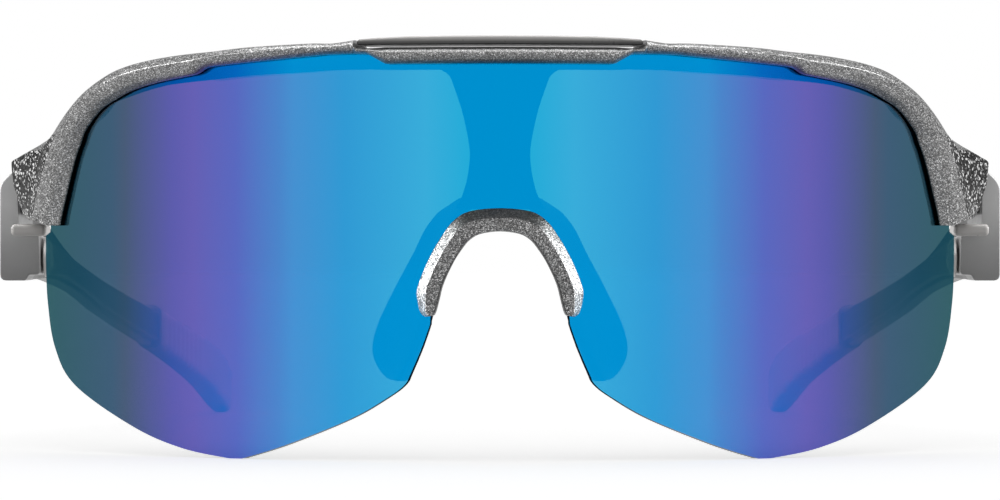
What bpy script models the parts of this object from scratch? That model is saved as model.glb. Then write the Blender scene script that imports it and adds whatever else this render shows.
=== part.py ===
"""Wraparound sport sunglasses: a half-rim front with one shield lens and two folding temples.

Metres, +Z up. The lens faces -Y, the temples run towards +Y, and X is left to right.
The origin is on the ground in the middle of the object's box.
Lengths below are in millimetres, and MM turns them into metres.
"""
import math

import bmesh
import bpy
from mathutils import Matrix, Vector

MM = 0.001

# Driving dimensions
LENS_RADIUS = 88.0
LENS_THICKNESS = 2.0
LENS_FRONT_Y = -77.15
FIT_GAP = 0.3
HINGE_X = 66.5
HINGE_Y = 39.0
ENDPIECE_BACK_Y = 36.2
ENDPIECE_INSIDE_X = 64.2
ENDPIECE_LEAST_WALL = 3.2
SLEEVE_FRONT_Y = 108.0
SMOOTH_ANGLE = math.radians(35)

# The rim from the middle outwards, as it is seen from the front: the edge on the lens side (x, z),
# the outer edge (x, z), how deep the lens groove is, and how far the lip behind the lens reaches
# past the edge on the lens side. The lip is set back where that is negative.
RIM_STATIONS = [
    (0.0, 53.35, 0.0, 55.6, 1.0, 0.65),
    (7.5, 53.35, 7.5, 55.6, 1.0, 0.65),
    (15.2, 53.35, 15.2, 55.6, 1.0, 0.65),
    (17.4, 54.6, 17.2, 55.5, 0.5, 1.85),
    (18.9, 54.7, 18.9, 55.5, 0.45, 1.95),
    (19.3, 54.75, 19.3, 56.6, 0.9, 1.95),
    (22.8, 54.7, 22.5, 56.2, 0.9, 2.0),
    (25.5, 54.5, 24.8, 56.25, 0.9, 2.1),
    (30.5, 54.1, 29.5, 56.1, 0.9, 1.95),
    (35.5, 53.7, 34.5, 55.85, 0.9, 1.8),
    (39.4, 53.3, 38.6, 55.45, 0.9, 1.6),
    (41.2, 52.4, 41.5, 55.25, 1.2, 0.7),
    (43.5, 52.0, 44.6, 54.95, 1.5, 0.5),
    (47.0, 51.4, 48.8, 54.3, 1.7, 0.25),
    (50.4, 50.5, 52.2, 53.35, 1.9, 0.05),
    (53.0, 49.3, 55.2, 51.75, 2.2, -0.5),
    (54.9, 48.2, 57.5, 50.0, 2.5, -1.3),
    (56.6, 46.5, 59.8, 47.5, 2.8, -1.9),
]
# The endpiece from the top down: z, the edge on the lens side, the outer edge of the raised band,
# the outer corner, where the section ends at the back (y), and how far its lens side dips.
ENDPIECE_STATIONS = [
    (44.6, 57.9, 61.6, 62.3, 31.0, 0.0),
    (43.4, 58.3, 62.3, 64.2, 33.0, 0.0),
    (42.5, 58.7, 62.7, 66.1, 34.6, 0.0),
    (41.7, 59.0, 63.0, 67.8, 35.6, 0.0),
    (40.8, 59.3, 63.4, 69.2, ENDPIECE_BACK_Y, 0.0),
    (38.0, 60.1, 64.2, 68.9, ENDPIECE_BACK_Y, 0.0),
    (36.0, 60.6, 64.8, 68.2, ENDPIECE_BACK_Y, 0.0),
    (34.0, 61.2, 65.2, 67.4, ENDPIECE_BACK_Y, 0.2),
    (33.0, 61.5, 65.4, 66.7, ENDPIECE_BACK_Y, 0.6),
    (32.6, 61.6, 64.9, 66.0, ENDPIECE_BACK_Y - 0.4, 0.8),
]
# Opposite corners of the lip under the endpiece: x, y, z.
ENDPIECE_BASE_LOW = (64.6, 30.2, 30.4)
ENDPIECE_BASE_HIGH = (69.6, 36.2, 32.1)
ENDPIECE_GROOVE = 2.2
ENDPIECE_LIP = 1.55
ENDPIECE_LIP_REAR = 2.2
LIP_REAR_OUT = -3.5

# The lens's free edge from the side to its lowest flat, and from there to the nose notch, as it is
# seen from the front.
LENS_SIDE_X = 64.3
LENS_STEP_Z = 30.8
LENS_OUTER_EDGE = [
    (64.3, 27.0), (64.0, 21.1), (62.8, 14.6), (59.6, 9.4), (50.7, 3.9), (43.6, 1.2), (36.9, 0.0),
]
LENS_INNER_EDGE = [
    (35.2, 0.0), (29.0, 2.0), (20.2, 5.6), (15.0, 8.6), (12.8, 10.3), (12.0, 11.8), (10.5, 15.3),
    (9.4, 18.4),
]
# The nosepiece from the middle down its side: inner edge (x, z) and outer edge (x, z).
ARCH_STATIONS = [
    (0.0, 30.9, 0.0, 34.0),
    (2.7, 30.5, 4.0, 33.6),
    (4.2, 29.6, 6.1, 32.4),
    (5.2, 28.3, 7.6, 30.5),
    (6.3, 26.4, 9.5, 27.2),
    (7.5, 23.8, 11.0, 23.4),
    (8.0, 21.8, 11.0, 21.6),
    (8.4, 20.3, 10.6, 20.0),
    (8.7, 19.7, 9.9, 19.4),
]
ARCH_WALL = 0.6
# The nose pad in level sections: z, its front edge x, its rear edge x.
PAD_STATIONS = [
    (35.6, 2.0, 4.9),
    (34.6, 3.1, 6.5),
    (33.4, 4.3, 8.2),
    (31.2, 5.7, 9.9),
    (28.0, 7.0, 11.5),
    (23.0, 8.1, 14.3),
    (18.0, 9.4, 16.7),
    (14.5, 10.8, 17.3),
    (12.0, 11.8, 16.2),
    (10.6, 12.6, 14.6),
]
PAD_FRONT_Y = 5.4
PAD_BACK_Y = 13.2
PAD_THICKNESS = 2.0
# The dark column between the brow and the nosepiece: half width and z.
BRIDGE_EDGE = [
    (8.0, 52.4), (7.0, 51.9), (6.4, 50.4), (5.3, 47.2), (4.45, 43.5), (4.2, 41.0), (4.6, 37.9),
    (5.4, 35.4), (6.3, 34.0),
]
BRIDGE_FOOT = [(4.2, 34.2), (0.0, 34.4)]
BRIDGE_THICKNESS = 1.8
# The strip on the brow, as it is seen from the front from the middle of its top to that of its foot.
BROW_INSERT_EDGE = [
    (0.0, 57.1), (7.0, 57.08), (12.5, 57.0), (16.5, 56.8), (18.5, 56.6), (18.75, 56.4),
    (18.75, 55.9), (0.0, 55.9),
]
BROW_INSERT_OUT = 2.0
BROW_INSERT_DEPTH = 6.6
# Width of the upright strips that a bent sheet is cut into.
STRIP_WIDTH = 3.0

# The temple from front to back: y, inner x, inner wall x, outer x, bottom z, shelf z, top z.
TEMPLE_STATIONS = [
    (36.8, 66.2, 69.6, 72.0, 24.0, 30.9, 40.0),
    (43.0, 66.2, 69.6, 72.1, 24.0, 30.5, 39.7),
    (51.0, 66.0, 69.3, 71.7, 24.1, 29.8, 37.2),
    (60.0, 64.8, 67.9, 70.2, 24.0, 28.0, 32.3),
    (70.0, 62.9, 65.0, 66.9, 21.9, 25.6, 27.1),
    (80.0, 60.9, 62.5, 64.4, 18.9, 23.4, 24.3),
    (90.0, 58.9, 60.4, 62.2, 16.5, 21.5, 22.2),
    (100.0, 57.0, 58.5, 60.3, 14.4, 19.8, 20.4),
    (107.7, 55.6, 57.1, 58.9, 12.9, 18.4, 19.0),
]
# The rubber sleeve: y, inner x, outer x, bottom z, top z.
SLEEVE_STATIONS = [
    (SLEEVE_FRONT_Y, 55.2, 59.2, 12.5, 19.4),
    (116.0, 53.8, 57.9, 10.9, 17.8),
    (128.0, 51.5, 55.7, 8.1, 15.5),
    (140.0, 49.2, 53.5, 4.9, 13.0),
    (149.0, 47.6, 51.8, 1.6, 10.4),
    (154.0, 47.1, 50.9, 0.0, 8.2),
    (157.0, 47.6, 50.1, 0.0, 5.0),
]
# The arm's spigot inside the sleeve: y, inner x, outer x, bottom z, top z.
SPIGOT_STATIONS = [
    (107.0, 56.4, 58.2, 14.4, 17.6),
    (116.0, 54.9, 56.8, 12.9, 16.2),
    (126.0, 53.0, 54.9, 10.6, 14.0),
]
SPIGOT_EDGE = 0.4

# Hinge hardware
KNUCKLE_RADIUS = 1.7
PIN_RADIUS = 0.7
KNUCKLE_BOTTOM_Z = 33.2
KNUCKLE_HEIGHT = 2.3
KNUCKLE_PITCH = 2.6
# Plates of the two leaves in plan, and where their knuckles' straps start on them (x, y).
FRONT_PLATE = [(62.8, 32.6), (63.9, 32.6), (63.9, 38.4), (62.8, 38.4)]
FRONT_STRAP_FOOT = ((63.3, 38.2), (63.4, 36.8))
TEMPLE_PLATE = [(68.3, 41.3), (69.3, 41.3), (69.0, 50.0), (68.0, 50.0)]
TEMPLE_PLATE_LEVELS = (33.6, 37.6)
TEMPLE_STRAP_FOOT = ((68.9, 41.5), (68.5, 43.2))
# The leaf screws: where the head's underside is, on the leaf's inner face.
LEAF_SCREW_RADIUS = 0.6
FRONT_SCREW_SPOT = (62.5, 34.5, 37.0)
TEMPLE_SCREW_SPOT = (67.8, 46.5, 35.4)
CAP_X = 65.9
CAP_Y = 40.5
CAP_Z = 27.4
CAP_RADIUS = 2.9


def clear_scene():
    for item in list(bpy.data.objects):
        bpy.data.objects.remove(item, do_unlink=True)


def make_collection(name):
    collection = bpy.data.collections.new(name)
    bpy.context.scene.collection.children.link(collection)
    return collection


def make_material(name, colour, roughness, metallic=0.0):
    material = bpy.data.materials.new(name)
    material.use_nodes = True
    shader = material.node_tree.nodes["Principled BSDF"]
    shader.inputs["Base Color"].default_value = (*colour, 1.0)
    shader.inputs["Roughness"].default_value = roughness
    shader.inputs["Metallic"].default_value = metallic
    material.diffuse_color = (*colour, 1.0)
    return material


def place(x, y, z):
    """Point from millimetres, with y counted from the front of the lens."""
    return Vector((x, y + LENS_FRONT_Y, z)) * MM


def arc_length(x):
    """Distance across the lens face, from the middle, of the spot seen from the front at x."""
    return LENS_RADIUS * math.asin(x / LENS_RADIUS)


def cylinder_point(across, z, out=0.0):
    """Point over the lens cylinder: arc length across the face, height, and how far in front of it."""
    angle = across / LENS_RADIUS
    reach = LENS_RADIUS + out
    return place(reach * math.sin(angle), LENS_RADIUS - reach * math.cos(angle), z)


def on_lens(x, z, out=0.0):
    """Point over the lens cylinder, from where its spot on the lens face is seen from the front."""
    return cylinder_point(arc_length(x), z, out)


def smooth_rows(rows, steps):
    """Rows along a Catmull-Rom curve through the given rows of numbers."""
    result = []
    last = len(rows) - 1
    for index in range(last):
        corners = [rows[max(index - 1, 0)], rows[index], rows[index + 1], rows[min(index + 2, last)]]
        for step in range(steps):
            t = step / steps
            row = []
            for before, start, end, after in zip(*corners):
                slope_in = (end - before) / 2
                slope_out = (after - start) / 2
                row.append((2 * t**3 - 3 * t**2 + 1) * start + (t**3 - 2 * t**2 + t) * slope_in
                           + (3 * t**2 - 2 * t**3) * end + (t**3 - t**2) * slope_out)
            result.append(tuple(row))
    result.append(tuple(rows[-1]))
    return result


def add_object(name, mesh, material, collection):
    mesh.materials.clear()
    mesh.materials.append(material)
    mesh.shade_smooth()
    mesh.set_sharp_from_angle(angle=SMOOTH_ANGLE)
    piece = bpy.data.objects.new(name, mesh)
    collection.objects.link(piece)
    return piece


def mesh_from(bm, name, origin=None):
    """Close a bmesh into a mesh whose object origin is at the given point."""
    bmesh.ops.recalc_face_normals(bm, faces=bm.faces)
    if bm.calc_volume(signed=True) < 0.0:
        bmesh.ops.reverse_faces(bm, faces=bm.faces)
    if origin is not None:
        bmesh.ops.translate(bm, verts=bm.verts, vec=-origin)
    mesh = bpy.data.meshes.new(name)
    bm.to_mesh(mesh)
    bm.free()
    return mesh


def loft_bmesh(sections, open_start=False):
    """Skin rings of points that all have the same number of points, and cap the ends."""
    bm = bmesh.new()
    rings = [[bm.verts.new(point) for point in section] for section in sections]
    count = len(rings[0])
    for ring, following in zip(rings, rings[1:]):
        for index in range(count):
            after = (index + 1) % count
            bm.faces.new((ring[index], ring[after], following[after], following[index]))
    if not open_start:
        bm.faces.new(rings[0])
    bm.faces.new(rings[-1])
    return bm


def bent_panel_bmesh(outline, out, strip):
    """Open sheet over the lens cylinder: a flat outline cut into upright strips, then bent."""
    bm = bmesh.new()
    corners = [bm.verts.new((arc_length(x), 0.0, z)) for x, z in outline]
    bm.faces.new(corners)
    count = int(max(corner.co.x for corner in corners) / strip)
    for index in range(-count, count + 1):
        bmesh.ops.bisect_plane(bm, geom=bm.verts[:] + bm.edges[:] + bm.faces[:], dist=0.001,
                               plane_co=(index * strip, 0.0, 0.0), plane_no=(1.0, 0.0, 0.0))
    for vert in bm.verts:
        vert.co = cylinder_point(vert.co.x, vert.co.z, out)
    bmesh.ops.recalc_face_normals(bm, faces=bm.faces)
    facing = sum(face.normal.y * face.calc_area() for face in bm.faces)
    if facing > 0:
        bmesh.ops.reverse_faces(bm, faces=bm.faces)
    return bm


def mirrored_outline(half):
    """Full outline from the half at positive x, which starts and ends near the middle."""
    other = [(-x, z) for x, z in reversed(half) if x > 0.0]
    return half + other


def solidify(piece, thickness):
    """Thicken an open sheet inwards from its face."""
    modifier = piece.modifiers.new("Thickness", "SOLIDIFY")
    modifier.thickness = thickness * MM
    modifier.offset = -1.0
    modifier.use_even_offset = True


def bevel(piece, width, segments):
    modifier = piece.modifiers.new("Edges", "BEVEL")
    modifier.width = width * MM
    modifier.segments = segments
    modifier.limit_method = "ANGLE"
    modifier.angle_limit = SMOOTH_ANGLE


def boolean(piece, tool, operation):
    modifier = piece.modifiers.new(operation.title(), "BOOLEAN")
    modifier.object = tool
    modifier.operation = operation
    modifier.solver = "EXACT"


def side_name(side):
    return "_left" if side < 0 else "_right"


def make_tool(name, bm, tools):
    """Hidden solid that a Boolean adds to a piece or takes from it."""
    tool = bpy.data.objects.new(name, mesh_from(bm, name))
    tool.hide_render = True
    tool.display_type = "WIRE"
    tools.objects.link(tool)
    return tool


def hinge_point(side):
    """Foot of a temple's hinge axis."""
    return place(side * HINGE_X, HINGE_Y, 0.0)


def mirror_across_middle(piece):
    modifier = piece.modifiers.new("Other side", "MIRROR")
    modifier.merge_threshold = 0.00001


def sheet_object(name, bm, thickness, material, collection):
    """Open sheet thickened inwards from its face."""
    mesh = bpy.data.meshes.new(name)
    bm.to_mesh(mesh)
    bm.free()
    piece = add_object(name, mesh, material, collection)
    solidify(piece, thickness)
    return piece


def station_edges(station):
    """Lens-side and outer edge of a station, as arc length across the lens and height."""
    inner_x, inner_z, outer_x, outer_z = station[:4]
    return Vector((arc_length(inner_x), inner_z)), Vector((arc_length(outer_x), outer_z))


def station_width(station):
    start, end = station_edges(station)
    return (end - start).length


def section_spot(station, along):
    """Spot on the lens face: a distance from the lens-side edge towards the outer edge."""
    start, end = station_edges(station)
    return start + (end - start).normalized() * along


def section_point(station, along, out):
    spot = section_spot(station, along)
    return cylinder_point(spot.x, spot.y, out)


def front_view_spot(station, along):
    """The same spot as it is seen from the front, (x, z)."""
    spot = section_spot(station, along)
    return LENS_RADIUS * math.sin(spot.x / LENS_RADIUS), spot.y


def lip_rear(station):
    """Where the rear corner of the lip is, leaning so that it stays behind the lip's edge."""
    start, end = station_edges(station)
    lean = math.tan(0.85 * start.x / LENS_RADIUS) * (end - start).normalized().x
    depth = -LENS_THICKNESS - FIT_GAP - LIP_REAR_OUT
    return -station[5] + depth * lean


def rim_section(station):
    """Closed ring of the rim: front face, ridge, outer wall, back, rear lip and lens groove."""
    width = station_width(station)
    groove, reach = station[4:]
    behind = -LENS_THICKNESS - FIT_GAP
    rear = lip_rear(station)
    ring = [(0.0, FIT_GAP), (0.0, 1.4), (0.22 * width, 2.2), (0.58 * width, 2.7), (0.93 * width, 2.0),
            (width, 1.2), (width, -4.2), (0.75 * width, -5.0), (max(0.1 * width, rear + 0.4), -4.6),
            (rear, LIP_REAR_OUT), (-reach, behind), (groove, behind), (groove, FIT_GAP)]
    return [section_point(station, along, out) for along, out in ring]


def endpiece_section(station):
    """Closed ring of the endpiece, with the same points as a rim section."""
    z, inner, band, outer, back, dip = station
    low = z - dip
    behind = -LENS_THICKNESS - FIT_GAP
    width = band - inner
    corner = on_lens(outer, z, 0.9)
    back_y = (back + LENS_FRONT_Y) * MM
    corner_x = corner.x
    inside_x = min(corner_x - ENDPIECE_LEAST_WALL * MM, ENDPIECE_INSIDE_X * MM)
    lip_back = on_lens(inner + ENDPIECE_LIP_REAR, low, LIP_REAR_OUT)
    rear_outer = Vector((corner_x, back_y, corner.z))
    rear_inner = Vector((inside_x, back_y, corner.z))
    inside_corner = Vector((inside_x, (back_y + lip_back.y) / 2, corner.z))
    return [
        on_lens(inner, low, FIT_GAP), on_lens(inner, low, 1.6), on_lens(inner + 0.22 * width, low, 2.5),
        on_lens(inner + 0.6 * width, z, 2.9), on_lens(band, z, 2.0), corner, rear_outer, rear_inner,
        inside_corner, lip_back,
        on_lens(inner + ENDPIECE_LIP, low, behind), on_lens(inner + ENDPIECE_GROOVE, low, behind),
        on_lens(inner + ENDPIECE_GROOVE, low, FIT_GAP),
    ]


def make_frame_front(collection, tools, material):
    sections = [rim_section(station) for station in RIM_STATIONS]
    sections += [endpiece_section(station) for station in ENDPIECE_STATIONS]
    for point in sections[0]:
        point.x = 0.0
    frame = add_object("frame_front", mesh_from(loft_bmesh(sections, open_start=True), "frame_front"),
                       material, collection)
    mirror_across_middle(frame)
    for side in (-1, 1):
        spot = (ENDPIECE_INSIDE_X, FRONT_SCREW_SPOT[1], FRONT_SCREW_SPOT[2])
        boolean(frame, screw_hole(side, "frame", spot, 3.0, tools), "DIFFERENCE")
    return frame


def upright_cylinder(radius, low, high, centre, segments=20):
    """Cylinder along z around a point in plan, given by its two ends."""
    bm = bmesh.new()
    middle = place(centre[0], centre[1], (low + high) / 2)
    bmesh.ops.create_cone(bm, cap_ends=True, segments=segments, radius1=radius * MM, radius2=radius * MM,
                          depth=(high - low) * MM, matrix=Matrix.Translation(middle))
    return bm


def screw_hole(side, label, centre, depth, tools):
    """Cutter for a blind screw hole that runs outwards from a point on an inner face."""
    bm = bmesh.new()
    radius = (LEAF_SCREW_RADIUS + FIT_GAP) * MM
    start = centre[0] - 1.0
    middle = place(side * (start + (depth + 1.0) / 2), centre[1], centre[2])
    turn = Matrix.Rotation(math.radians(90), 4, "Y")
    bmesh.ops.create_cone(bm, cap_ends=True, segments=16, radius1=radius, radius2=radius,
                          depth=(depth + 1.0) * MM, matrix=Matrix.Translation(middle) @ turn)
    return make_tool("cut_" + label + side_name(side), bm, tools)


def lens_outline_half():
    """Half outline of the lens from the middle of the top edge round to the middle of the notch."""
    outline = [front_view_spot(station, station[4] - FIT_GAP) for station in RIM_STATIONS]
    for z, inner, *_ in ENDPIECE_STATIONS:
        outline.append((inner + ENDPIECE_GROOVE - FIT_GAP, z))
    outline.append((LENS_SIDE_X - 0.8, LENS_STEP_Z + 0.2))
    outline.append((LENS_SIDE_X, LENS_STEP_Z - 0.4))
    outline += smooth_rows(LENS_OUTER_EDGE, 3)
    outline += smooth_rows(LENS_INNER_EDGE, 3)
    outline += [front_view_spot(station, ARCH_WALL + FIT_GAP) for station in reversed(ARCH_STATIONS[:-1])]
    return outline


def make_lens(collection, material):
    bm = bent_panel_bmesh(mirrored_outline(lens_outline_half()), 0.0, STRIP_WIDTH)
    return sheet_object("shield_lens", bm, LENS_THICKNESS, material, collection)


def make_brow_insert(collection, material):
    """Smooth strip that lies on the step in the top of the brow bar."""
    bm = bent_panel_bmesh(mirrored_outline(BROW_INSERT_EDGE), BROW_INSERT_OUT, STRIP_WIDTH)
    return sheet_object("brow_insert", bm, BROW_INSERT_DEPTH, material, collection)


def make_nose_bridge(collection, material):
    """Dark column behind the lens, from the brow down to the nosepiece."""
    half = [(0.0, BRIDGE_EDGE[0][1])] + smooth_rows(BRIDGE_EDGE, 3) + BRIDGE_FOOT
    bm = bent_panel_bmesh(mirrored_outline(half), -LENS_THICKNESS - 2 * FIT_GAP, STRIP_WIDTH)
    return sheet_object("nose_bridge", bm, BRIDGE_THICKNESS, material, collection)


def arch_section(station):
    """Channel over the lens edge: front bezel with an outer bevel, inner wall and back lip."""
    width = station_width(station)
    wall = ARCH_WALL
    behind = -LENS_THICKNESS - FIT_GAP
    lip = min(3.0, width)
    ring = [(wall, FIT_GAP), (width, FIT_GAP), (width, 0.7), (0.62 * width, 2.2), (0.1 * width, 2.1),
            (0.0, 1.7), (0.0, -4.0), (0.3, -4.3), (lip, -4.3), (lip, behind), (wall, behind)]
    return [section_point(station, along, out) for along, out in ring]


def make_nosepiece_arch(collection, material):
    sections = [arch_section(station) for station in ARCH_STATIONS]
    for point in sections[0]:
        point.x = 0.0
    mesh = mesh_from(loft_bmesh(sections, open_start=True), "nosepiece_arch")
    arch = add_object("nosepiece_arch", mesh, material, collection)
    mirror_across_middle(arch)
    return arch


def pad_section(side, z, front_x, back_x):
    """Level ring of a nose pad: a blade with round edges that bows towards the nose."""
    front = Vector((front_x + 1.0, PAD_FRONT_Y + 1.0))
    back = Vector((back_x, PAD_BACK_Y))
    along = (back - front).normalized()
    across = Vector((-along.y, along.x))
    half = PAD_THICKNESS / 2
    run = (back - front).length
    ring = []
    for share, offset in ((0.0, 1.0), (0.3, 1.25), (0.6, 1.3), (0.9, 1.0), (1.0, 0.0), (0.9, -0.8),
                          (0.6, -0.5), (0.3, -0.5), (0.0, -0.8), (-0.12, 0.0)):
        spot = front + along * run * share + across * half * offset
        ring.append(place(side * spot.x, spot.y, z))
    return ring


def make_nose_pad(side, collection, material):
    name = "nose_pad" + side_name(side)
    rows = smooth_rows(PAD_STATIONS, 2)
    sections = [pad_section(side, *row) for row in rows]
    return add_object(name, mesh_from(loft_bmesh(sections), name), material, collection)


def make_endpiece_base(side, collection, material):
    """Smooth lip under the endpiece."""
    name = "endpiece_base" + side_name(side)
    bm = bmesh.new()
    low = Vector(ENDPIECE_BASE_LOW)
    high = Vector(ENDPIECE_BASE_HIGH)
    middle = place(side * (low.x + high.x) / 2, (low.y + high.y) / 2, (low.z + high.z) / 2)
    size = (high - low) * MM
    bmesh.ops.create_cube(bm, size=1.0, matrix=Matrix.Translation(middle) @ Matrix.Diagonal((*size, 1.0)))
    piece = add_object(name, mesh_from(bm, name), material, collection)
    bevel(piece, 0.5, 2)
    return piece


def plan_prism_bmesh(side, outline, low, high):
    """Upright prism over an outline in plan."""
    bm = bmesh.new()
    base = bm.faces.new([bm.verts.new(place(side * x, y, low)) for x, y in outline])
    raised = bmesh.ops.extrude_face_region(bm, geom=[base])
    verts = [item for item in raised["geom"] if isinstance(item, bmesh.types.BMVert)]
    bmesh.ops.translate(bm, verts=verts, vec=(0.0, 0.0, (high - low) * MM))
    return bm


def knuckle_outline(wing):
    """Eye of a knuckle with the strap that joins it to its leaf, in plan."""
    centre = Vector((HINGE_X, HINGE_Y))
    start, end = wing
    direction = (Vector(start) + Vector(end)) / 2 - centre
    opening = math.atan2(direction.y, direction.x)
    points = []
    for step in range(13):
        angle = opening + math.radians(50) + math.radians(260) * step / 12
        spoke = Vector((math.cos(angle), math.sin(angle)))
        points.append(tuple(centre + spoke * KNUCKLE_RADIUS))
    return points + [start, end]


def make_leaf(leaf, side, levels, wing, hole, tools):
    """Give a hinge leaf's plate its knuckles on straps, the pin bore and the screw hole."""
    for index, (low, high) in enumerate(levels):
        strap = plan_prism_bmesh(side, knuckle_outline(wing), low, high)
        boolean(leaf, make_tool("join_" + leaf.name + str(index), strap, tools), "UNION")
    low = levels[0][0] - 1.0
    high = levels[-1][1] + 1.0
    bore = upright_cylinder(PIN_RADIUS + FIT_GAP, low, high, (side * HINGE_X, HINGE_Y), 16)
    boolean(leaf, make_tool("bore_" + leaf.name, bore, tools), "DIFFERENCE")
    boolean(leaf, hole, "DIFFERENCE")
    return leaf


def knuckle_level(index):
    low = KNUCKLE_BOTTOM_Z + KNUCKLE_PITCH * index
    return low, low + KNUCKLE_HEIGHT


def make_front_leaf(side, collection, tools, material):
    name = "hinge_front_leaf" + side_name(side)
    plate = plan_prism_bmesh(side, FRONT_PLATE, KNUCKLE_BOTTOM_Z, knuckle_level(2)[1])
    leaf = add_object(name, mesh_from(plate, name), material, collection)
    hole = screw_hole(side, "front_leaf", FRONT_SCREW_SPOT, 3.0, tools)
    return make_leaf(leaf, side, [knuckle_level(0), knuckle_level(2)], FRONT_STRAP_FOOT, hole, tools)


def make_temple_leaf(side, collection, tools, material):
    name = "hinge_temple_leaf" + side_name(side)
    plate = plan_prism_bmesh(side, TEMPLE_PLATE, *TEMPLE_PLATE_LEVELS)
    leaf = add_object(name, mesh_from(plate, name), material, collection)
    hole = screw_hole(side, "temple_leaf", TEMPLE_SCREW_SPOT, 3.0, tools)
    return make_leaf(leaf, side, [knuckle_level(1)], TEMPLE_STRAP_FOOT, hole, tools)


def turned_object(name, profile, centre, direction, collection, material, segments=20):
    """Piece turned from a profile of (radius, height) that runs down its outer side.

    The axis of the profile points along the given direction.
    """
    points = [(radius * MM, 0.0, height * MM) for radius, height in profile]
    edges = [(index, index + 1) for index in range(len(points) - 1)]
    mesh = bpy.data.meshes.new(name)
    mesh.from_pydata(points, edges, [])
    piece = add_object(name, mesh, material, collection)
    turn = piece.modifiers.new("Turn", "SCREW")
    turn.steps = segments
    turn.render_steps = segments
    turn.use_merge_vertices = True
    turn.merge_threshold = 0.00001
    piece.location = centre
    piece.rotation_euler = Vector(direction).to_track_quat("Z", "Y").to_euler()
    return piece


def make_hinge_screw(side, collection, material):
    """Pin screw of the hinge: a low head, a shank through the knuckles and a slotted top."""
    top = knuckle_level(2)[1] + FIT_GAP
    bottom = KNUCKLE_BOTTOM_Z - 0.3
    profile = [(0.0, top + 0.8), (1.1, top + 0.8), (1.4, top + 0.5), (1.4, top), (PIN_RADIUS, top),
               (PIN_RADIUS, bottom + 0.2), (PIN_RADIUS - 0.2, bottom), (0.0, bottom)]
    return turned_object("hinge_screw" + side_name(side), profile, hinge_point(side), (0.0, 0.0, 1.0),
                         collection, material)


def leaf_screw_profile(length):
    radius = LEAF_SCREW_RADIUS
    return [(0.0, 0.7), (0.9, 0.7), (1.2, 0.4), (1.2, 0.0), (radius, 0.0), (radius, -length + 0.3),
            (0.0, -length)]


def make_leaf_screw(name, side, spot, length, collection, material):
    """Small screw with its head on the inner face of a leaf, driven outwards."""
    seat = place(side * spot[0], spot[1], spot[2])
    return turned_object(name + side_name(side), leaf_screw_profile(length), seat, (-side, 0.0, 0.0),
                         collection, material, 16)


def temple_section(side, row):
    """Ring of the temple: a tall outer wall with a lower shelf on its inner side."""
    y, inner, wall, outer, bottom, shelf, top = row
    top = max(top, shelf + 0.5)
    crown = min(2.0, (top - shelf) * 0.6, outer - wall - 0.2)
    edge = 0.7
    notch = 0.12 * (shelf - bottom)
    ring = [(outer - edge, bottom), (outer, bottom + edge), (outer, top - crown),
            (outer - 0.3 * crown, top - 0.3 * crown), (outer - crown, top), (wall, top - 0.05),
            (wall, shelf + 0.1), (wall - 0.2, shelf), (inner + edge, shelf), (inner, shelf - edge),
            (inner, bottom + notch + edge), (inner + edge, bottom + notch),
            (inner + 0.28 * (outer - inner), bottom + notch), (inner + 0.36 * (outer - inner), bottom)]
    return [place(side * x, y, z) for x, z in ring]


def box_section(side, row, edge):
    """Ring of a bar with cut corners."""
    y, inner, outer, bottom, top = row
    ring = [(inner + edge, bottom), (outer - edge, bottom), (outer, bottom + edge), (outer, top - edge),
            (outer - edge, top), (inner + edge, top), (inner, top - edge), (inner, bottom + edge)]
    return [place(side * x, y, z) for x, z in ring]


def spigot_rows(grow):
    """Stations of the spigot, or of the pocket that is larger than it all round."""
    rows = []
    for y, inner, outer, bottom, top in SPIGOT_STATIONS:
        rows.append([y, inner - grow, outer + grow, bottom - grow, top + grow])
    rows[-1][0] += grow
    return rows


def make_temple_arm(side, collection, tools, material):
    name = "temple_arm" + side_name(side)
    pivot = hinge_point(side)
    sections = [temple_section(side, row) for row in smooth_rows(TEMPLE_STATIONS, 2)]
    arm = add_object(name, mesh_from(loft_bmesh(sections), name, pivot), material, collection)
    arm.location = pivot
    sections = [box_section(side, row, SPIGOT_EDGE) for row in spigot_rows(0.0)]
    spigot = make_tool("join_spigot" + side_name(side), loft_bmesh(sections), tools)
    boolean(arm, spigot, "UNION")
    spot = (TEMPLE_STATIONS[0][2] - 0.2, TEMPLE_SCREW_SPOT[1], TEMPLE_SCREW_SPOT[2])
    boolean(arm, screw_hole(side, "arm", spot, 1.6, tools), "DIFFERENCE")
    boolean(arm, cap_socket(side, tools), "DIFFERENCE")
    return arm


def cap_socket(side, tools):
    """Cutter for the blind hole that the hinge cap's stem goes into."""
    bm = bmesh.new()
    middle = place(side * (CAP_X + 1.4), CAP_Y, CAP_Z)
    turn = Matrix.Rotation(math.radians(90), 4, "Y")
    bmesh.ops.create_cone(bm, cap_ends=True, segments=16, radius1=1.5 * MM, radius2=1.5 * MM,
                          depth=2.8 * MM, matrix=Matrix.Translation(middle) @ turn)
    return make_tool("cut_cap" + side_name(side), bm, tools)


def make_hinge_cap(side, collection, material):
    """Domed plug on the inner face of the temple, with a stem in the arm."""
    profile = [(0.0, 1.1), (1.5, 0.95), (2.4, 0.55), (CAP_RADIUS, 0.1), (CAP_RADIUS, 0.0), (1.2, 0.0),
               (1.2, -1.9), (0.0, -1.9)]
    return turned_object("hinge_cap" + side_name(side), profile, place(side * CAP_X, CAP_Y, CAP_Z),
                         (-side, 0.0, 0.0), collection, material, 24)


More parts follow.
